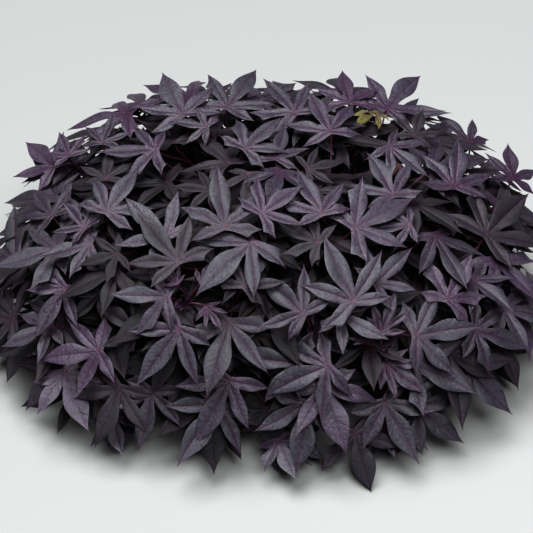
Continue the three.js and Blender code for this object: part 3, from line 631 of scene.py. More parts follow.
def root_leaf(leaf, middle, roots):
    """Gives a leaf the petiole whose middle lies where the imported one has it."""
    misses = [np.linalg.norm(middle_of_petiole(leaf, root) - middle) for root in roots]
    leaf["miss"] = min(misses)
    leaf["petiole"] = petiole_line(leaf, roots[int(np.argmin(misses))])


trial = {"heart": 80 * UP, "normal": UP, "along": np.array([1.0, 0.0, 0.0])}
print("middle of a trial petiole in mm:", middle_of_petiole(trial, 0 * UP).round(1))

# %% [markdown]
# These few corners say everything about a leaf: its place, its tilt, the turn and reach of each lobe,
# how wide it is and how far it droops. A leaf is kept as a small dictionary, so that the leaves that
# are added later can be written in the same way.

# %% Read every leaf
PACKED_LOBE_WIDTH = 0.256
VINES_WITHOUT_SHOOT, FADED_LEAVES = len(VINES) - len(SHOOT_VINES), 3
SEAT_GAP, STALK_LENGTH, STALK_PLACES = 0.35, 17, (0.9, 0.6, 0.35)


def read_leaves(node, roots):
    """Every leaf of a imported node, with the petiole rooted at the best fitting of the roots."""
    points, near = corners_of(node)
    leaves = []
    for centre, found in leaf_ridges(points, near).items():
        under, ring = petiole_corners(centre, points, near)
        low = points[under].mean(axis=0)
        main_chain, main_sides = max(found, key=lambda f: len(f[0]))
        leaf = {"heart": (points[centre] + low) / 2, "normal": unit(points[centre] - low)}
        reach = points[main_chain[0]] - leaf["heart"]
        flat = reach - leaf["normal"] * reach.dot(leaf["normal"])
        leaf["length"] = np.linalg.norm(flat)
        leaf["along"] = flat / leaf["length"]
        leaf["across"] = np.cross(leaf["normal"], leaf["along"])
        leaf["droop"] = -reach.dot(leaf["normal"]) / leaf["length"]
        width = np.linalg.norm(points[main_sides[0]] - points[main_sides[1]])
        leaf["width"] = width / (PACKED_LOBE_WIDTH * leaf["length"])
        leaf["lobes"] = []
        for chain, _ in found:
            tip = points[chain[0]] - leaf["heart"]
            x, y = tip.dot(leaf["along"]), tip.dot(leaf["across"])
            leaf["lobes"].append((math.atan2(y, x), math.hypot(x, y)))
        leaf["lobes"].sort()
        root_leaf(leaf, points[ring].mean(axis=0), roots)
        leaves.append(leaf)
    return leaves


def stalk_of(shoot):
    """Where the short stalk of a young shoot starts, just clear of its vine, and where it heads."""
    vine = VINES[f"vine_{VINES_WITHOUT_SHOOT + shoot:02d}"]
    heading = unit(vine[3] - vine[2])
    return vine[3] + heading * SEAT_GAP, heading


LEAVES = {name: read_leaves(name, PLACES[name]) for name in VINES}
for number in range(1, 1 + len(SHOOT_VINES)):
    start, heading = stalk_of(number)
    stalk_places = [start + heading * STALK_LENGTH * share for share in STALK_PLACES]
    LEAVES[f"young_shoot_{number}"] = read_leaves(f"young_shoot_{number}", stalk_places)
ALL_PLACES = np.concatenate(list(PLACES.values()))
for number in range(1, 1 + FADED_LEAVES):
    LEAVES[f"faded_leaf_{number}"] = read_leaves(f"faded_leaf_{number}", ALL_PLACES)
print("leaves:", {name: len(leaves) for name, leaves in LEAVES.items()})
print("worst petiole miss in mm:", round(max(l["miss"] for m in LEAVES.values() for l in m), 3))

# %% [markdown]
# A fine leaf starts as a pattern: a grid of rows and columns for each of the five lobes, stitched
# together at the heart, along the spokes between lobes and round the rim. The upper and the lower
# sheet meet in the rim, so the leaf is one closed body with a thin edge. The pattern is worked out
# once and then laid over every leaf, which is far quicker than stitching each leaf again.


# %% Stitch the pattern of a leaf
class Pattern:
    """How the grids of five lobes are stitched into one closed leaf."""

    def __init__(self, neck_rows, lobe_rows, columns):
        self.neck = neck_rows
        self.rows = neck_rows + lobe_rows + 1
        self.columns = np.array(columns)
        self.shape = (LOBES, self.rows, len(columns))
        last = len(columns) - 1
        names, sources = {}, []
        sheets = np.zeros((2,) + self.shape, dtype=int)
        for lobe, row, column in np.ndindex(*self.shape):
            at_side = column in (0, last)
            if row == 0:
                name = ("heart",)
            elif row == self.rows - 1:
                name = ("tip", lobe)
            elif row <= neck_rows and at_side:
                name = ("spoke", (lobe + (column > 0)) % LOBES, row)
            else:
                name = (lobe, row, column)
            on_rim = row == self.rows - 1 or (row >= neck_rows and at_side)
            for sheet in (0, 1):
                key = name if on_rim else (sheet, *name)
                if key not in names:
                    names[key] = len(names)
                    sources.append((sheet, lobe, row, column, on_rim))
                sheets[(sheet, lobe, row, column)] = names[key]
        self.sources = np.array(sources)
        self.stitch(sheets, last)

    def stitch(self, sheets, last):
        """Lists the triangles as corner numbers, grid places and sheet."""
        triangles, grid, sheet_of = [], [], []
        for lobe in range(LOBES):
            for row in range(self.rows - 1):
                for column in range(last):
                    a, b = (lobe, row, column), (lobe, row + 1, column)
                    c, d = (lobe, row + 1, column + 1), (lobe, row, column + 1)
                    outward = column < last / 2
                    for half in ((a, b, c), (a, c, d)) if outward else ((a, b, d), (b, c, d)):
                        for sheet in (0, 1):
                            ordered = half if sheet == 0 else half[::-1]
                            corners = [sheets[(sheet, *place)] for place in ordered]
                            if len(set(corners)) == 3:
                                triangles.append(corners)
                                grid.append([np.ravel_multi_index(p, self.shape) for p in ordered])
                                sheet_of.append(sheet)
        self.triangles = np.array(triangles)
        self.grid = np.array(grid)
        self.sheet_of = np.array(sheet_of)


FINE = Pattern(2, 11, (-1, -0.9, -0.58, -0.22, -0.05, 0, 0.05, 0.22, 0.58, 0.9, 1))
PLAIN = Pattern(1, 7, (-1, -0.5, -0.06, 0, 0.06, 0.5, 1))
print("triangles in a leaf:", len(FINE.triangles), "fine,", len(PLAIN.triangles), "plain")

# %% [markdown]
# Each lobe is a petal that is widest near its middle and ends in a drawn-out point. Many side lobes
# carry a tooth, so that they look like a swallow's tail. A habit of growth says how far a leaf may
# stray from the plain form: its fold in degrees, the waves of its edge, the twist, sway and bend of its
# lobes, and how often a lobe has a tooth. Formulas with a little chance in them make every leaf its
# own, where copies of one sculpted leaf would soon look alike.

# %% Say how leaves grow
GROWN = {"fold": (10, 30), "wave": 0.016, "twist": 14, "sway": 0.024, "bend": 0.09, "tooth": 0.55}
YOUNG = {"fold": (14, 30), "wave": 0.03, "twist": 16, "sway": 0.02, "bend": 0.05, "tooth": 0.15}
FADED = {"fold": (10, 24), "wave": 0.04, "twist": 24, "sway": 0.05, "bend": 0.08, "tooth": 0.2}
TOOTH_START, TOOTH_PEAK, TOOTH_RISE, TOOTH_FALL = 0.25, 0.68, 0.35, 0.08


def petal(u, rise, fall):
    """The width of a lobe along its length: 0 at its root, 1 at its widest and 0 at its tip."""
    peak = rise / (rise + fall)
    return (u / peak) ** rise * ((1 - u) / (1 - peak)) ** fall


def tooth(u):
    """A sideways point that rises slowly and falls away steeply."""
    rising = np.clip((u - TOOTH_START) / TOOTH_RISE, 0, 1) ** 1.5
    return rising * np.clip((TOOTH_PEAK - u) / TOOTH_FALL, 0, 1)


tenths = [tenth / 10 for tenth in range(11)]
print("width of a lobe from root to tip:", [round(petal(u, 1.45, 1.8), 2) for u in tenths])
print("tooth from root to tip:", [round(float(tooth(u)), 2) for u in tenths])

# %% [markdown]
# Webs join the lobes round the heart, so a lobe's edges start where they meet its neighbours'. Seen
# from above, a lobe is a row of cross lines, each from one rim over the rib to the other, first through
# the neck and then through the petal. The main lobe is the widest, and leaves high on the mound are
# slimmer. A lobe sways a little to one side.

# %% Lay out a lobe
WEB_REACH, BASE_REACH, LEAST_NECK = 0.18, 0.07, 0.05
HALF_WIDTHS, BENDING, CROOK = (0.168, 0.106, 0.088), (0.3, 0.8, 1.0), 0.03
SLIMMER_AT_TOP, TOP_OF_MOUND, WIDTH_CHANCE, LEAN_CHANCE = 0.22, 300, (0.9, 1.06), 0.14
WAVE_STARTS, WAVE_PACES, TOOTH_SIZES, MIDDLE_TOOTHED = (0, 6.3), (5.5, 9), (0.5, 1.2), 0.5
WEB_FADE, BACK_FADE = 2.4, 3


def points_between_lobes(leaf):
    """Where the edges of neighbouring lobes meet, from behind the heart round to there again."""
    behind = np.array([-BASE_REACH * leaf["length"], 0.0])
    turns = [turn for turn, _ in leaf["lobes"]]
    middles = [(before + after) / 2 for before, after in zip(turns, turns[1:])]
    webs = [WEB_REACH * leaf["length"] * np.array([math.cos(m), math.sin(m)]) for m in middles]
    return [behind, *webs, behind]


def lobe_form(lobe, leaf, habit, luck):
    """Where a lobe heads, and how wide, bent, twisted, waved and toothed it is by chance."""
    turn, reach = leaf["lobes"][lobe]
    length, rank = leaf["length"], abs(lobe - 2)
    ahead = np.array([math.cos(turn), math.sin(turn)])
    webs = points_between_lobes(leaf)[lobe : lobe + 2]
    form = {"reach": reach, "ahead": ahead, "aside": np.array([-ahead[1], ahead[0]]), "webs": webs}
    form["middle"] = max(LEAST_NECK * length, (webs[0].dot(ahead) + webs[1].dot(ahead)) / 2)
    form["outer"] = 0 if lobe < 2 else 1
    half = HALF_WIDTHS[rank] * leaf["width"] * length * luck.uniform(*WIDTH_CHANCE)
    form["half"] = half * (1 - SLIMMER_AT_TOP * min(1.0, leaf["heart"][2] / TOP_OF_MOUND))
    form["lean"] = luck.uniform(-LEAN_CHANCE, LEAN_CHANCE)
    form["bend"] = luck.uniform(-0.8, 0.8) * habit["bend"] * BENDING[rank] * length
    form["sway"] = luck.uniform(-1, 1) * habit["sway"] * length
    form["twist"] = math.tan(math.radians(luck.uniform(-1, 1) * habit["twist"]))
    form["crook"] = luck.uniform(-0.6, 0.6) * CROOK * length
    waves = [(luck.uniform(*WAVE_STARTS), luck.uniform(*WAVE_PACES)) for _ in range(2)]
    form["waves"] = np.array(waves)
    often = habit["tooth"] * (MIDDLE_TOOTHED if rank == 1 else 1)
    form["tooth"] = luck.uniform(*TOOTH_SIZES) if rank > 0 and luck.random() < often else 0.0
    return form


def neck_row(form, share):
    """The rib and both rims of a lobe at a share of the way from the heart to its webs."""
    return form["ahead"] * form["middle"] * share, [web * share for web in form["webs"]]


def petal_row(form, u, rise, fall):
    """The rib and both rims of a lobe at a share u of the way from its webs to its tip."""
    ahead, aside, middle = form["ahead"], form["aside"], form["middle"]
    forward = middle + u * (form["reach"] - middle)
    rib = ahead * forward + aside * (form["sway"] * 4 * u * (1 - u))
    rims = []
    for side, web in enumerate(form["webs"]):
        leaning = 1 + (form["lean"] if side else -form["lean"])
        wide = form["half"] * leaning * petal(u, rise, fall)
        wide += abs(web.dot(aside)) * (1 - u) ** WEB_FADE
        if side == form["outer"]:
            wide += form["half"] * form["tooth"] * tooth(u)
        back = (web.dot(ahead) - middle) * (1 - u) ** BACK_FADE
        rims.append(rib + ahead * back + aside * wide * (1 if side else -1))
    return rib, rims


trial = lobe_form(2, LEAVES["vine_01"][0], GROWN, random.Random(0))
print("half the width of a main lobe in mm:", round(trial["half"], 1))

# %% [markdown]
# Now each corner of the leaf gets its height. A lobe is folded along its midrib like an open book, but
# each half is cushioned, so that it levels out towards its edge. It droops, twists about its own length
# and has softly waved edges. The midrib is sunk above and stands out below. The heights are added up
# one after the other, which keeps every habit of the leaf apart from the others.

# %% Shape a blade
CUSHION, DROOP_CURVE, FOLD_START = 0.6, 1.4, 0.3
BLADE_HALF_THICKNESS = 0.24
RIB_REACH, RIB_SUNK, RIB_RAISED, RIB_TAPER = 0.8, 0.28, 0.75, 0.6
PETAL_RISES, PETAL_FALLS, ROW_SPREAD = (1.3, 1.6), (1.6, 1.95), 1.08


def blade_grid(leaf, pattern, habit, luck):
    """Places of the grid in the leaf's own frame, the rib places, and the lift of both sheets."""
    length = leaf["length"]
    place = np.zeros(pattern.shape + (3,))
    rib_place = np.zeros(pattern.shape + (3,))
    lift = np.zeros((2,) + pattern.shape)
    t = pattern.columns
    far = np.abs(t)
    fold = math.tan(math.radians(luck.uniform(*habit["fold"])))
    rise, fall = luck.uniform(*PETAL_RISES), luck.uniform(*PETAL_FALLS)
    for lobe in range(LOBES):
        form = lobe_form(lobe, leaf, habit, luck)
        phase, pace = np.where(t < 0, *form["waves"][:, :, None])
        for row in range(pattern.rows):
            if row <= pattern.neck:
                u = 0.0
                rib, rims = neck_row(form, row / pattern.neck)
            else:
                even = (row - pattern.neck) / (pattern.rows - 1 - pattern.neck)
                u = 1 - (1 - even) ** ROW_SPREAD
                rib, rims = petal_row(form, u, rise, fall)
            rim = np.where(t[:, None] < 0, rims[0], rims[1])
            flat = rib + far[:, None] * (rim - rib)
            along = flat.dot(form["ahead"])
            across = flat.dot(form["aside"]) - rib.dot(form["aside"])
            risen = min(1.0, rib.dot(form["ahead"]) / (FOLD_START * length))
            z = -leaf["droop"] * length * np.abs(along / length) ** DROOP_CURVE
            z += fold * np.abs(across) * (1 - CUSHION * far) * risen + form["twist"] * across * u
            z += form["crook"] * (4 * u * (1 - u) - u**3) + form["bend"] * u**2
            z += habit["wave"] * length * far**2 * np.sin(phase + pace * u) * risen * (1 - u**2)
            spot = (lobe, row)
            place[spot] = np.column_stack([flat, z])
            rib_place[spot] = np.column_stack([along, across, t])
            near_rib = np.exp(-((across / RIB_REACH) ** 2)) * (1 - RIB_TAPER * u)
            lift[(0, *spot)] = BLADE_HALF_THICKNESS - RIB_SUNK * near_rib
            lift[(1, *spot)] = -BLADE_HALF_THICKNESS - RIB_RAISED * near_rib
    return place, rib_place, lift


first_grid = blade_grid(LEAVES["vine_01"][0], FINE, GROWN, random.Random(0))[0]
print("the first leaf's grid spans in mm:", np.ptp(first_grid.reshape(-1, 3), axis=0).round(1))

# %% [markdown]
# A leaf becomes a part: its corners in the plant, its triangles, and what each triangle's corners say
# to the skins. Leaves in the light are slate, mauve or darker by chance. The further a leaf stands
# under the mound's surface, the darker its colour is made: painted shade, because hardly any light
# reaches it there. Young leaves are fuller than the imported ones. The veins are laid out for a leaf
# of full length and shrink with the leaf, so that small leaves have as many as large ones.

# %% Grow blades and tint them
# Depths in mm under the mound's surface where the painted shade begins and where it is full.
FIRST_SHADE, FULL_SHADE = 2, 28
YOUNG_FULLNESS, LIGHT_TINTS = 1.3, (-0.7, 1)


def grow_blade(leaf, pattern, habit, seed):
    """The corner places of a fine blade, and what its triangles say about themselves."""
    luck = random.Random(seed)
    place, rib_place, lift = blade_grid(leaf, pattern, habit, luck)
    sheet, lobe, row, column, on_rim = pattern.sources.T
    local = place[lobe, row, column]
    local[:, 2] += lift[sheet, lobe, row, column] * (1 - on_rim)
    frame_of_leaf = np.array([leaf["along"], leaf["across"], leaf["normal"]])
    enlarged = FULL_LENGTH / leaf["length"]
    flat = rib_place.reshape(-1, 3) * (enlarged, enlarged, 1)
    plan = place.reshape(-1, 3)[:, :2]
    marks = np.zeros(pattern.grid.shape + (3,))
    marks[:, :, 0] = leaf["tint"]
    marks[:, :, 1] = pattern.sheet_of[:, None]
    marks[:, :, 2] = np.hypot(plan[:, 0], plan[:, 1])[pattern.grid]
    return {
        "corners": leaf["heart"] + local @ frame_of_leaf,
        "triangles": pattern.triangles,
        "rib_place": flat[pattern.grid],
        "leaf_mark": marks,
        "chart": plan[pattern.grid],
        "sheet": pattern.sheet_of,
        "stuff": 0,
    }


def tint_with_painted_shade(heart, luck):
    """The tint of a leaf, random in the light, with painted shade that darkens it the further it stands
    under the mound's surface.
    """
    x, y, z = heart
    depth = (mound_top(x, y) - z) * outward_at(x, y)[2]
    darkness = min(1.0, max(0.0, (depth - FIRST_SHADE) / (FULL_SHADE - FIRST_SHADE)))
    return luck.uniform(*LIGHT_TINTS) * (1 - darkness) - darkness


for name, leaves in LEAVES.items():
    for index, leaf in enumerate(leaves):
        luck = random.Random(f"{name} tint {index}")
        young = name.startswith("young")
        leaf["tint"] = luck.random() if young else tint_with_painted_shade(leaf["heart"], luck)
        leaf["width"] *= YOUNG_FULLNESS if young else 1
first_turns = [round(math.degrees(turn)) for turn, _ in LEAVES["vine_01"][0]["lobes"]]
print("first leaf's lobes in degrees:", first_turns)

# %% [markdown]
# Stalks, vines, the young shoots' stems and the crown are all rows of rings, closed at both ends. One
# helper stitches such rows. A curve with a round bevel would make a tube too, but the skin also has to
# know how far along it each corner lies and how young the stem is there.

# %% Close a row of rings
TURN = 2 * math.pi
FAR_FROM_HEART = 99


def closed_rings(rings, ends, run, youth, map_width, stuff):
    """A closed part from equal rings of corners and the middles of its two ends."""
    sides = len(rings[0])
    corners = np.vstack([*rings, ends])
    last = len(rings) - 1
    triangles, places, marks = [], [], []

    def add(*spots):
        triangles.append([index for index, _, _ in spots])
        places.append([(run[row], around / sides, 0) for _, row, around in spots])
        marks.append([(youth[row], 0, FAR_FROM_HEART) for _, row, _ in spots])

    for row in range(last):
        for side in range(sides):
            after = (side + 1) % sides
            a = (row * sides + side, row, side)
            b = (row * sides + after, row, side + 1)
            c = ((row + 1) * sides + after, row + 1, side + 1)
            d = ((row + 1) * sides + side, row + 1, side)
            add(a, b, c)
            add(a, c, d)
    rim = last * sides
    for side in range(sides):
        after = (side + 1) % sides
        add((rim + sides, 0, side), (after, 0, side + 1), (side, 0, side))
        outer = (rim + after, last, side + 1)
        add((rim + sides + 1, last, side), (rim + side, last, side), outer)
    places = np.array(places, dtype=float)
    return {
        "corners": corners,
        "triangles": np.array(triangles),
        "rib_place": places,
        "leaf_mark": np.array(marks, dtype=float),
        "chart": places[:, :, :2] * (1, map_width),
        "sheet": np.zeros(len(triangles), dtype=int),
        "stuff": stuff,
    }


square = np.array([(1, 0, 0), (0, 1, 0), (-1, 0, 0), (0, -1, 0)])
block = closed_rings([square, square + UP], (0 * UP, UP), (0, 1), (0, 0), 1, 1)
print("triangles of a block of two square rings:", len(block["triangles"]))

# %% [markdown]
# A tube follows a line and keeps its rings from turning about it, so that its streaks run straight. A
# petiole is thicker where it leaves its vine and where it meets the blade. A vine swells a little at
# every place where a petiole can root, and its low stretches are lifted until they lie on the ground.

# %% Shape stalks and vines
STEM_ON_MAP, NOT_ALONG = 0.35, (0.31, 0.22, 0.93)
PETIOLE_RADIUS, PETIOLE_THINNING, PETIOLE_FLARE, FLARE_REACH = 1.9, 0.75, 0.35, 0.03
NODE_SWELLING, NODE_REACH = 0.55, 0.012


def run_along(line):
    """The distance from the start of a line to each of its points."""
    return np.concatenate([[0], np.cumsum(np.linalg.norm(np.diff(line, axis=0), axis=1))])


def tube(line, radii, sides, youth):
    """A closed tube along a line of points, with a radius at each point."""
    line = np.asarray(line)
    headings = np.gradient(line, axis=0)
    headings /= np.linalg.norm(headings, axis=1)[:, None]
    side = unit(np.cross(headings[0], NOT_ALONG))
    angles = np.arange(sides) * TURN / sides
    rings = []
    for point, heading, radius in zip(line, headings, radii):
        side = unit(side - heading * side.dot(heading))
        other = np.cross(heading, side)
        ring = np.outer(np.cos(angles), side) + np.outer(np.sin(angles), other)
        rings.append(point + radius * ring)
    run = run_along(line)
    youth = np.broadcast_to(youth, len(line))
    return closed_rings(rings, line[[0, -1]], run, youth, STEM_ON_MAP * run[-1], 1)


def grow_petiole(leaf, rings=12, sides=7, sunk=1.5):
    """The stalk of a leaf, thicker where it leaves its vine and where it meets the blade."""
    t = np.linspace(0, 1, rings)
    line = on_curve(leaf["petiole"], t)
    line[0] -= unit(line[1] - line[0]) * sunk
    line[-1] -= leaf["normal"] * 0.2
    radii = PETIOLE_RADIUS - PETIOLE_THINNING * t
    radii = radii + PETIOLE_FLARE * np.exp(-((1 - t) / FLARE_REACH) ** 2)
    return tube(line, radii, sides, 0.35 + 0.65 * t)


def grow_vine(name, rings=56, sides=9):
    """A vine with a slight swelling at every place where a petiole can root."""
    t = np.linspace(0, 1, rings)
    line = on_curve(VINES[name], t)
    radii = VINE_ROOT_RADIUS + (VINE_TIP_RADIUS - VINE_ROOT_RADIUS) * t
    for share in ROOT_PLACES:
        radii = radii + NODE_SWELLING * np.exp(-(((t - share) / NODE_REACH) ** 2))
    line[:, 2] = np.maximum(line[:, 2], radii * 0.98)
    return tube(line, radii, sides, 0.45 * t**2)


print("a petiole has", len(grow_petiole(LEAVES["vine_01"][0])["triangles"]), "triangles")

# %% [markdown]
# The finished colours can be kept on a flat map, so every part gets its own square on it, large for the
# top of a blade and small for a stalk: the colours are sharpest where they are seen most. A ready-made
# unwrap would have to look for seams on hundreds of leaves. Here each part already has a flat chart of
# its own, and the squares only have to be laid side by side.

# %% Lay the parts out on a map
MAP_MARGIN, UNDERSIDE_CARE, SMALLEST_SQUARE, MAP_GROWTH = 0.04, 0.5, 4.0, 1.02


def map_squares(sizes):
    """Lays squares in rows on one unit square and gives each one's corner and size."""
    order = sorted(range(len(sizes)), key=lambda i: -sizes[i])
    width = math.sqrt(sum(s * s for s in sizes))
    while True:
        x = y = tall = 0.0
        spots = [None] * len(sizes)
        for index in order:
            size = sizes[index]
            if x + size > width:
                x, y, tall = 0.0, y + tall, 0.0
            spots[index] = (x, y, size)
            x += size
            tall = max(tall, size)
        if y + tall <= width:
            return np.array(spots) / width
        width *= MAP_GROWTH


def on_map(parts):
    """The map places of all triangles' corners, part after part."""
    jobs = []
    for part in parts:
        for sheet in np.unique(part["sheet"]):
            chart = part["chart"][part["sheet"] == sheet]
            size = np.ptp(chart.reshape(-1, 2), axis=0).max() * part.get("care", 1)
            jobs.append((part, sheet, chart, size * (UNDERSIDE_CARE if sheet else 1)))
    spots = map_squares([max(job[3], SMALLEST_SQUARE) for job in jobs])
    placed = {}
    for (part, sheet, chart, _), (x, y, size) in zip(jobs, spots):
        low = chart.reshape(-1, 2).min(axis=0)
        span = np.ptp(chart.reshape(-1, 2), axis=0).max()
        inside = (chart - low) / span * (1 - 2 * MAP_MARGIN) + MAP_MARGIN
        placed[(id(part), sheet)] = inside * size + (x, y)
    out = []
    for part in parts:
        uv = np.zeros(part["chart"].shape)
        for sheet in np.unique(part["sheet"]):
            uv[part["sheet"] == sheet] = placed[(id(part), sheet)]
        out.append(uv)
    return np.concatenate(out)


print("map squares for sizes 3, 2, 2 and 1:", map_squares([3, 2, 2, 1]).round(2).tolist())

# %% [markdown]
# Each leafy vine becomes one object. Its parts are laid end to end in long arrays and handed to the
# mesh at once, which is many times faster than face by face. The skins read what the corners say from
# two attributes of the mesh. Edges sharper than the crease angle stay crisp and all others are smooth.

# %% Join parts into one piece
CREASE = 60


def make_piece(name, parts, stuffs):
    """One object from many parts, with its materials, attributes and map."""
    offsets = np.cumsum([0] + [len(part["corners"]) for part in parts])
    corners = np.concatenate([part["corners"] for part in parts]) * MM
    triangles = np.concatenate([part["triangles"] + first for part, first in zip(parts, offsets)])
    count = len(triangles)
    mesh = bpy.data.meshes.new(name)
    mesh.vertices.add(len(corners))
    mesh.vertices.foreach_set("co", corners.astype(np.float32).ravel())
    mesh.loops.add(3 * count)
    mesh.loops.foreach_set("vertex_index", triangles.astype(np.int32).ravel())
    mesh.polygons.add(count)
    mesh.polygons.foreach_set("loop_start", np.arange(0, 3 * count, 3, dtype=np.int32))
    stuff = np.concatenate([np.full(len(part["triangles"]), part["stuff"]) for part in parts])
    mesh.polygons.foreach_set("material_index", stuff.astype(np.int32))
    mesh.polygons.foreach_set("use_smooth", np.ones(count, dtype=bool))
    for label in ("rib_place", "leaf_mark"):
        values = np.concatenate([part[label] for part in parts])
        layer = mesh.attributes.new(label, "FLOAT_VECTOR", "CORNER")
        layer.data.foreach_set("vector", values.astype(np.float32).ravel())
    uv = mesh.uv_layers.new(name="OFBake")
    uv.data.foreach_set("uv", on_map(parts).astype(np.float32).ravel())
    for material in stuffs:
        mesh.materials.append(material)
    mesh.update(calc_edges=True)
    mesh.validate()
    mesh.set_sharp_from_angle(angle=math.radians(CREASE))
    piece = bpy.data.objects.new(name, mesh)
    bpy.context.scene.collection.objects.link(piece)
    return piece


print("a piece keeps edges sharp from", CREASE, "degrees on")

# %% [markdown]
# Between the outer leaves one looks into the shade of the mound, where more leaves stand on lower parts
# of the same vines. They must not grow through each other. Testing every new mesh against all others
# would be far too slow, so space is divided into small cells instead. Every leaf marks the cells that
# its blade passes through, and a new leaf is kept only where nearly all its cells are still free.

# %% Divide space into small cells
CELL = 8.0
STATIONS = np.array([0.12, 0.24, 0.36, 0.48, 0.6, 0.72, 0.84, 0.95])
STATION_WIDTHS = np.array([0.04, 0.08, 0.13, 0.14, 0.12, 0.09, 0.05, 0.01])
STATION_SIDES = np.array([-1, -0.5, 0, 0.5, 1])


def cells_of(leaf):
    """The small cells of space that a leaf's blade passes through."""
    length = leaf["length"]
    spots = []
    for turn, reach in leaf["lobes"]:
        along = np.repeat(STATIONS * reach, len(STATION_SIDES))
        across = np.outer(STATION_WIDTHS * reach, STATION_SIDES).ravel()
        x = along * math.cos(turn) - across * math.sin(turn)
        y = along * math.sin(turn) + across * math.cos(turn)
        spots.append(np.column_stack([x, y, -leaf["droop"] * length * (along / length) ** 2]))
    local = np.concatenate(spots)
    world = leaf["heart"] + local @ np.array([leaf["along"], leaf["across"], leaf["normal"]])
    return {tuple(cell) for cell in np.floor(world / CELL).astype(int)}, world[:, 2].min()


taken_cells = set().union(*(cells_of(leaf)[0] for leaves in LEAVES.values() for leaf in leaves))
print("cells taken by the packed plant's leaves:", len(taken_cells))

# %% [markdown]
# A leaf in the shade is laid out on a sunflower spiral, which spreads leaves evenly without rows, at a
# depth below the mound's surface that changes from leaf to leaf. The deeper it stands, the less it
# leans outwards. Smaller leaves, which face the sky, stand over the ends of the trailing and the
# arching vines.

# %% Draw new leaves by chance
SHADE_ROUND, SHADE_REACH, SHADE_DEPTHS, LOWEST_SHADE_HEART = 300, 0.98, (0.05, 0.66), 24.0
SHADE_LENGTHS, SHADE_DROOPS, SHADE_WIDTHS = (70, 104), (0.04, 0.2), (0.92, 1.12)
HEADING_CHANCE, LOBE_SWING, LOBE_REACHES = 1.5, 6, (0.94, 1.06)
END_OUT, END_ASIDE, END_ABOVE = (-34, 10), (-26, 26), (30, 58)
END_SIZES, END_TINTS = (0.62, 0.86), (-0.4, 0.2)
GOLDEN_TURN = 137.508
LOBE_TURNS = ((-104, 0.5), (-53, 0.79), (0, 1.0), (53, 0.79), (104, 0.5))


def face(leaf, normal, along):
    """Turns a leaf to face along its normal, with its main lobe as near as can be to along."""
    leaf["normal"] = normal
    leaf["along"] = unit(along - normal * along.dot(normal))
    leaf["across"] = np.cross(normal, leaf["along"])


def shade_leaf(index, luck):
    """One leaf in the shade, before it is known whether there is room for it."""
    share = SHADE_REACH * ((index % SHADE_ROUND + 0.5) / SHADE_ROUND) ** 0.5
    depth = luck.uniform(*SHADE_DEPTHS) ** 1.15
    spot = in_plan(GOLDEN_TURN * index, share * (1 - 0.3 * depth), 0)
    outward = outward_at(spot[0] * 0.9, spot[1] * 0.9)
    height = max(LOWEST_SHADE_HEART, mound_top(*spot[:2]) * (1 - depth))
    heart = np.array([spot[0], spot[1], height])
    wild = np.array([luck.uniform(-1, 1) for _ in range(3)])
    normal = unit(0.5 * (1 - depth) * outward + 0.7 * UP + 0.28 * wild)
    heading = math.atan2(heart[1], heart[0]) + luck.uniform(-HEADING_CHANCE, HEADING_CHANCE)
    length = luck.uniform(*SHADE_LENGTHS)
    lobes = []
    for turn, reach in LOBE_TURNS:
        swing = luck.uniform(-LOBE_SWING, LOBE_SWING) if turn else 0
        lobes.append((math.radians(turn + swing), length * reach * luck.uniform(*LOBE_REACHES)))
    leaf = {"heart": heart, "length": length, "lobes": lobes}
    face(leaf, normal, np.array([math.cos(heading), math.sin(heading), 0.0]))
    leaf["droop"] = luck.uniform(*SHADE_DROOPS)
    leaf["width"] = luck.uniform(*SHADE_WIDTHS)
    leaf["tint"] = tint_with_painted_shade(heart, luck)
    return leaf


def end_leaf(tip, luck):
    """A smaller leaf over the end of a vine, before it is known whether there is room for it."""
    leaf = shade_leaf(0, luck)
    turn = math.atan2(tip[1], tip[0])
    beyond, beside = luck.uniform(*END_OUT), luck.uniform(*END_ASIDE)
    out = np.array([math.cos(turn), math.sin(turn), 0.0])
    cross = np.array([-out[1], out[0], 0.0])
    leaf["heart"] = tip + beyond * out + beside * cross + luck.uniform(*END_ABOVE) * UP
    tilt = luck.uniform(0.1, 0.5) * out + luck.uniform(-0.3, 0.3) * cross
    face(leaf, unit(0.75 * UP + tilt), unit(out + luck.uniform(-1.4, 1.4) * cross))
    size = luck.uniform(*END_SIZES)
    leaf["length"] *= size
    leaf["lobes"] = [(turn, reach * size) for turn, reach in leaf["lobes"]]
    leaf["tint"] = luck.uniform(*END_TINTS)
    return leaf


trial = shade_leaf(0, random.Random(1))
print("a trial leaf of", round(trial["length"]), "mm passes through", len(cells_of(trial)[0]), "cells")

# %% [markdown]
# A new leaf also needs a vine to grow from. Of all places where a petiole can root, the best is about
# a usual petiole's length away and lies below the leaf. A leaf with no good place is left out, so that
# no petiole runs across half the mound. First the ends of the vines are covered, then the shade is
# filled, until there are enough leaves.

# %% Root the new leaves where there is room
SHADE_TRIES, SHADE_MOST, SHARED_CELLS, LOWEST_BLADE = 9000, 400, 3, 2.5
COVERED_VINES, END_TRIES, END_MOST = 16, 60, 3
USUAL_PETIOLE, SHORTEST_PETIOLE, LEAST_RISE = 75, 22, 0.12
MOST_COST, TOO_COSTLY, SPAN_PER_COST, RISE_COST = 3.2, 9.0, 60, 1.2
ENDS_SEED, SHADE_SEED = 31, 77


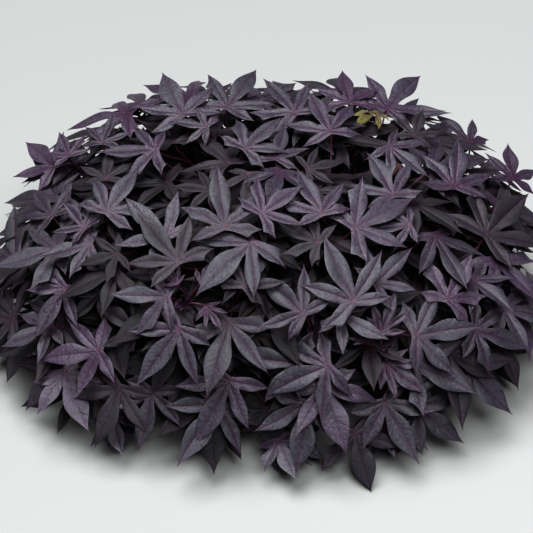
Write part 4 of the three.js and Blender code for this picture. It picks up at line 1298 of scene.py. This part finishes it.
def best_root(leaf, vines):
    """The vine and the place on it that suit a petiole of the usual length from below."""
    best = None
    for name in vines:
        places = PLACES[name]
        reach = leaf["heart"] - places
        span = np.sqrt((reach**2).sum(axis=1))
        rising = reach.dot(leaf["normal"]) / span
        cost = np.abs(span - USUAL_PETIOLE) / SPAN_PER_COST + RISE_COST * (1 - rising)
        cost += TOO_COSTLY * (rising < LEAST_RISE) + TOO_COSTLY * (span < SHORTEST_PETIOLE)
        index = int(np.argmin(cost))
        if best is None or cost[index] < best[0]:
            best = (cost[index], name, places[index])
    return best


def settle(leaf, vines, shaded):
    """Roots a leaf on the best of some vines if there is room, and says whether there was."""
    cells, lowest = cells_of(leaf)
    if lowest < LOWEST_BLADE or len(cells & taken_cells) > SHARED_CELLS:
        return False
    cost, name, root = best_root(leaf, vines)
    if cost > MOST_COST:
        return False
    leaf["petiole"] = petiole_line(leaf, root)
    taken_cells.update(cells)
    shaded[name].append(leaf)
    return True


def cover_ends(shaded):
    """Stands leaves over the ends of the trailing and the arching vines."""
    luck = random.Random(ENDS_SEED)
    for name in list(VINES)[:COVERED_VINES]:
        for _ in range(END_TRIES):
            leaf = end_leaf(VINES[name][3], luck)
            if len(shaded[name]) < END_MOST:
                settle(leaf, (name,), shaded)


def fill_shade():
    """All added leaves, listed by vine: first the ones over the vines' ends, then those in the shade."""
    luck = random.Random(SHADE_SEED)
    shaded = {name: [] for name in VINES}
    cover_ends(shaded)
    count = sum(len(leaves) for leaves in shaded.values())
    print("leaves over the ends of vines:", count)
    for index in range(SHADE_TRIES):
        count += settle(shade_leaf(index, luck), VINES, shaded)
        if count == SHADE_MOST:
            break
    return shaded


SHADED = fill_shade()
print("added leaves:", sum(len(leaves) for leaves in SHADED.values()))

# %% [markdown]
# Most vines end in a growing tip, where a few small leaves stand close together, the younger the
# smaller. They lean outwards from the vine's last stretch, one after the other round it, and bend
# upwards to the light. They are blades like all others, only folded more and with their lobes drawn
# together.

# %% Shape the growing tips
VINES_WITH_TIPS, TIP_LEAVES, TIP_LENGTHS, LOWEST_TIP_BLADE = 20, 4, (52, 20), 3
TIP = {"fold": (26, 44), "wave": 0.03, "twist": 16, "sway": 0.03, "bend": 0.05, "tooth": 0.0}
TURN_OF_NEXT, TIP_START, TIP_RUN, TIP_LEANS = 2.4, 0.985, 0.013, (1.15, 0.85)
TIP_NECK, TIP_WIDTH, TIP_CLOSING, TIP_UPWARDS = 0.28, 0.8, (0.8, 0.3), 0.7
TIP_STALK_RADIUS, TIP_STALK_YOUTH, TIP_STALK_BEND = 1.1, 0.9, 0.1


def small_leaf(root, heading, turn, lean, length, lobe_turns, neck, width):
    """A small upright leaf at a growing tip, leaning away from the heading of its stem."""
    side = unit(np.cross(heading, [0.2, 0.1, 1.0]))
    other = np.cross(heading, side)
    out = side * math.cos(turn) + other * math.sin(turn)
    along = unit(heading * math.cos(lean) + out * math.sin(lean))
    normal = unit(heading * math.sin(lean) - out * math.cos(lean))
    lobes = [(math.radians(degrees), length * reach) for degrees, reach in lobe_turns]
    leaf = {"heart": root + along * neck, "normal": normal, "along": along, "length": length}
    leaf.update(lobes=lobes, across=np.cross(normal, along), droop=-0.1, width=width, tint=1.0)
    return leaf


def small_stalk(points, radius, youth):
    """The thin petiole of a small leaf along the cubic curve of four points."""
    return tube(on_curve(np.array(points), np.linspace(0, 1, 5)), [radius] * 5, 6, youth)


def growing_tip(name):
    """The small leaves on the end of a vine, with their petioles."""
    luck = random.Random(f"{name} tip")
    heading = unit(VINES[name][3] - VINES[name][2])
    growing = unit(heading + TIP_UPWARDS * UP)
    parts = []
    first_turn = luck.uniform(0, TURN)
    for index in range(TIP_LEAVES):
        share = index / (TIP_LEAVES - 1)
        length = TIP_LENGTHS[0] + (TIP_LENGTHS[1] - TIP_LENGTHS[0]) * share
        root = on_curve(VINES[name], TIP_START + TIP_RUN * share)
        turn, lean = first_turn + TURN_OF_NEXT * index, TIP_LEANS[0] - TIP_LEANS[1] * share
        closing = TIP_CLOSING[0] - TIP_CLOSING[1] * share
        lobe_turns = [(degrees * closing, reach) for degrees, reach in LOBE_TURNS]
        neck = TIP_NECK * length
        leaf = small_leaf(root, growing, turn, lean, length, lobe_turns, neck, TIP_WIDTH)
        if cells_of(leaf)[1] < LOWEST_TIP_BLADE:
            continue
        parts.append(grow_blade(leaf, PLAIN, TIP, f"{name} tip {index}"))
        low = root + growing * TIP_STALK_BEND * length
        high = leaf["heart"] - leaf["along"] * TIP_STALK_BEND * length
        curve = [root, low, high, leaf["heart"]]
        parts.append(small_stalk(curve, TIP_STALK_RADIUS, TIP_STALK_YOUTH))
    return parts


print("leaves on the first vine's tip:", len(growing_tip("vine_01")) // 2)

# %% [markdown]
# Everything is ready to grow the vines. A piece is one vine with all its petioles and leaves. It
# stands for the faceted node of the same number, rides on the plant's only body and takes the
# skin for dark leaves. Leaves in the shade get a plainer pattern and a smaller square on
# the map.

# %% Grow the leafy vines
SHADE_CARE = 0.6
for number, name in enumerate(VINES, start=1):
    parts = [grow_vine(name)]
    for index, leaf in enumerate(LEAVES[name]):
        parts += [grow_blade(leaf, FINE, GROWN, f"{name} {index}"), grow_petiole(leaf)]
    for index, leaf in enumerate(SHADED[name]):
        blade = grow_blade(leaf, PLAIN, GROWN, f"{name} shade {index}")
        blade["care"] = SHADE_CARE
        parts += [blade, grow_petiole(leaf, rings=7, sides=5)]
    if number <= VINES_WITH_TIPS:
        parts += growing_tip(name)
    piece = make_piece(f"leafy_vine_{number:02d}", parts, (LEAF_SKINS["dark_leaf"], DARK_STEM))
    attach(piece, "root")
    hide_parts(name)
total = sum(len(o.data.polygons) for o in bpy.data.objects if o.name.startswith("leafy_vine"))
print("triangles in the leafy vines:", total)

# %% [markdown]
# A young shoot ends in a few purple leaves, and in its middle stand crimson ones that have not opened
# yet. Each of those is a small blade folded almost shut, since a plain pointed bud would lack the lobes.

# %% Grow the young shoots
BUD = {"fold": (52, 64), "wave": 0.02, "twist": 10, "sway": 0.03, "bend": 0.0, "tooth": 0.0}
BUDS, BUD_NECK, BUD_WIDTH, BUD_LEANS, BUD_LENGTHS = 5, 3, 1.3, (0.15, 0.16), (11, 3.2)
STALK_RADIUS, STALK_THINNING, BUD_STALK_RADIUS = 2.2, 0.5, 0.9
BUD_LOBE_TURNS = ((-52, 0.5), (-27, 0.8), (0, 1.0), (27, 0.8), (52, 0.5))

for number in range(1, 1 + len(SHOOT_VINES)):
    name = f"young_shoot_{number}"
    start, heading = stalk_of(number)
    t = np.linspace(0, 1, 9)
    radii = STALK_RADIUS - STALK_THINNING * t
    parts = [tube(start + np.outer(t * STALK_LENGTH, heading), radii, 9, 0.8)]
    for index, leaf in enumerate(LEAVES[name]):
        parts += [grow_blade(leaf, FINE, YOUNG, f"{name} {index}"), grow_petiole(leaf)]
    luck = random.Random(number)
    growing = unit(0.6 * heading + 0.8 * UP)
    low, high = start + heading * (STALK_LENGTH - 2), start + heading * (STALK_LENGTH - 1)
    for index in range(BUDS):
        turn = index * TURN_OF_NEXT + luck.random()
        lean = BUD_LEANS[0] + BUD_LEANS[1] * index
        length = BUD_LENGTHS[0] + BUD_LENGTHS[1] * index
        leaf = small_leaf(high, growing, turn, lean, length, BUD_LOBE_TURNS, BUD_NECK, BUD_WIDTH)
        parts.append(grow_blade(leaf, PLAIN, BUD, f"{name} bud {index}"))
        curve = [low, high, leaf["heart"] - growing, leaf["heart"]]
        parts.append(small_stalk(curve, BUD_STALK_RADIUS, 1.0))
    piece = make_piece(f"purple_shoot_{number}", parts, (LEAF_SKINS["young_leaf"], DARK_STEM))
    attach(piece, "root")
    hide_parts(name)
    print(f"purple_shoot_{number}:", len(LEAVES[name]), "leaves and", BUDS, "buds")

# %% [markdown]
# Here and there an old leaf fades before it falls. Each has its own colour, yellow, olive or brown,
# and waves and twists more than a fresh leaf. Its petiole starts clear of the vine, because it is a
# piece of its own.

# %% Grow the faded leaves
FADED_START = 4.5
for number, slot in enumerate(("yellow_leaf", "olive_leaf", "brown_leaf"), start=1):
    name = f"faded_leaf_{number}"
    leaf = LEAVES[name][0]
    parts = [grow_blade(leaf, FINE, FADED, name), grow_petiole(leaf, sunk=-FADED_START)]
    piece = make_piece(f"old_leaf_{number}", parts, (LEAF_SKINS[slot], FADED_STEM))
    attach(piece, "root")
    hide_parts(name)

# %% [markdown]
# The crown is the woody stub at soil level from which all vines grow. It is turned on a lathe of
# rings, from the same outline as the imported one. Three waves furrow its sides, each given by how many
# there are round the crown, how much they lean and how deep they are. Its underside stays flat, because
# that is where the plant rests.

# %% Turn the crown
CROWN_RADII = (24, 27.6, 30, 30, 29, 26.5, 23, 18.5, 12, 6.5)
CROWN_HEIGHTS = (0, 1.6, 7, 14, 22, 29, 36, 41.5, 47, 50.2)
CROWN_ENDS = ((0.0, 0.0, 0.0), (0.0, 0.0, 52.0))
CROWN_ROWS, CROWN_SIDES, CROWN_YOUTH, CROWN_ON_MAP = 26, 48, 0.4, 80.0
FURROWS = ((3, 0.05, 0.35), (11, 0.09, 0.3), (17, -0.16, 0.22))
CUT_FADE, TOP_FADE, WORN_OFF = 6, 14, 0.5


def crown_part():
    """The crown as rings from its underside to its top, furrowed everywhere but at the cut."""
    profile = np.array([CROWN_RADII, CROWN_HEIGHTS], dtype=float)
    run = run_along(profile.T)
    even = np.linspace(0, run[-1], CROWN_ROWS)
    angles = np.arange(CROWN_SIDES) * TURN / CROWN_SIDES
    rings = []
    for radius, height in zip(*(np.interp(even, run, values) for values in profile)):
        rugged = sum(np.sin(n * angles + lean * height) * size for n, lean, size in FURROWS)
        rugged = (rugged - WORN_OFF) * min(1.0, height / CUT_FADE)
        out = radius + rugged * min(1.0, radius / TOP_FADE)
        rings.append(np.column_stack([out * np.cos(angles), out * np.sin(angles), 0 * out + height]))
    youth = [CROWN_YOUTH] * CROWN_ROWS
    return closed_rings(rings, CROWN_ENDS, even, youth, CROWN_ON_MAP, 0)


crown = make_piece("woody_crown", [crown_part()], (BARK,))
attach(crown, "root")
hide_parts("crown")
print("triangles in the crown:", len(crown.data.polygons))

# %% [markdown]
# The plant rests on a plain pale floor, wide enough to fill every view. Four corners are all it needs.

# %% Lay the floor
FLOOR_REACH, FLOOR_QUARTERS = 30.0, ((-1, -1), (1, -1), (1, 1), (-1, 1))
FLOOR_TONE, FLOOR_ROUGHNESS = shade(152, 151, 149), 0.9
floor_mesh = bpy.data.meshes.new("floor")
floor_corners = [(x * FLOOR_REACH, y * FLOOR_REACH, 0) for x, y in FLOOR_QUARTERS]
floor_mesh.from_pydata(floor_corners, [], [(0, 1, 2, 3)])
floor = bpy.data.objects.new("floor", floor_mesh)
paint = bpy.data.materials.new("floor_paint")
paint.use_nodes = True
paint_shader = paint.node_tree.nodes["Principled BSDF"]
paint_shader.inputs["Base Color"].default_value = FLOOR_TONE
paint_shader.inputs["Roughness"].default_value = FLOOR_ROUGHNESS
floor_mesh.materials.append(paint)
bpy.context.scene.collection.objects.link(floor)
floor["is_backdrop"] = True

# %% [markdown]
# At last the size of the fine plant is printed beside the size of the imported one.

# %% Measure and finish
box_now = [list(corner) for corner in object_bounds()]
print("packed box in mm:", [[round(v / MM) for v in corner] for corner in CAD_BOX])
print("fine box in mm:", [[round(v / MM) for v in corner] for corner in box_now])
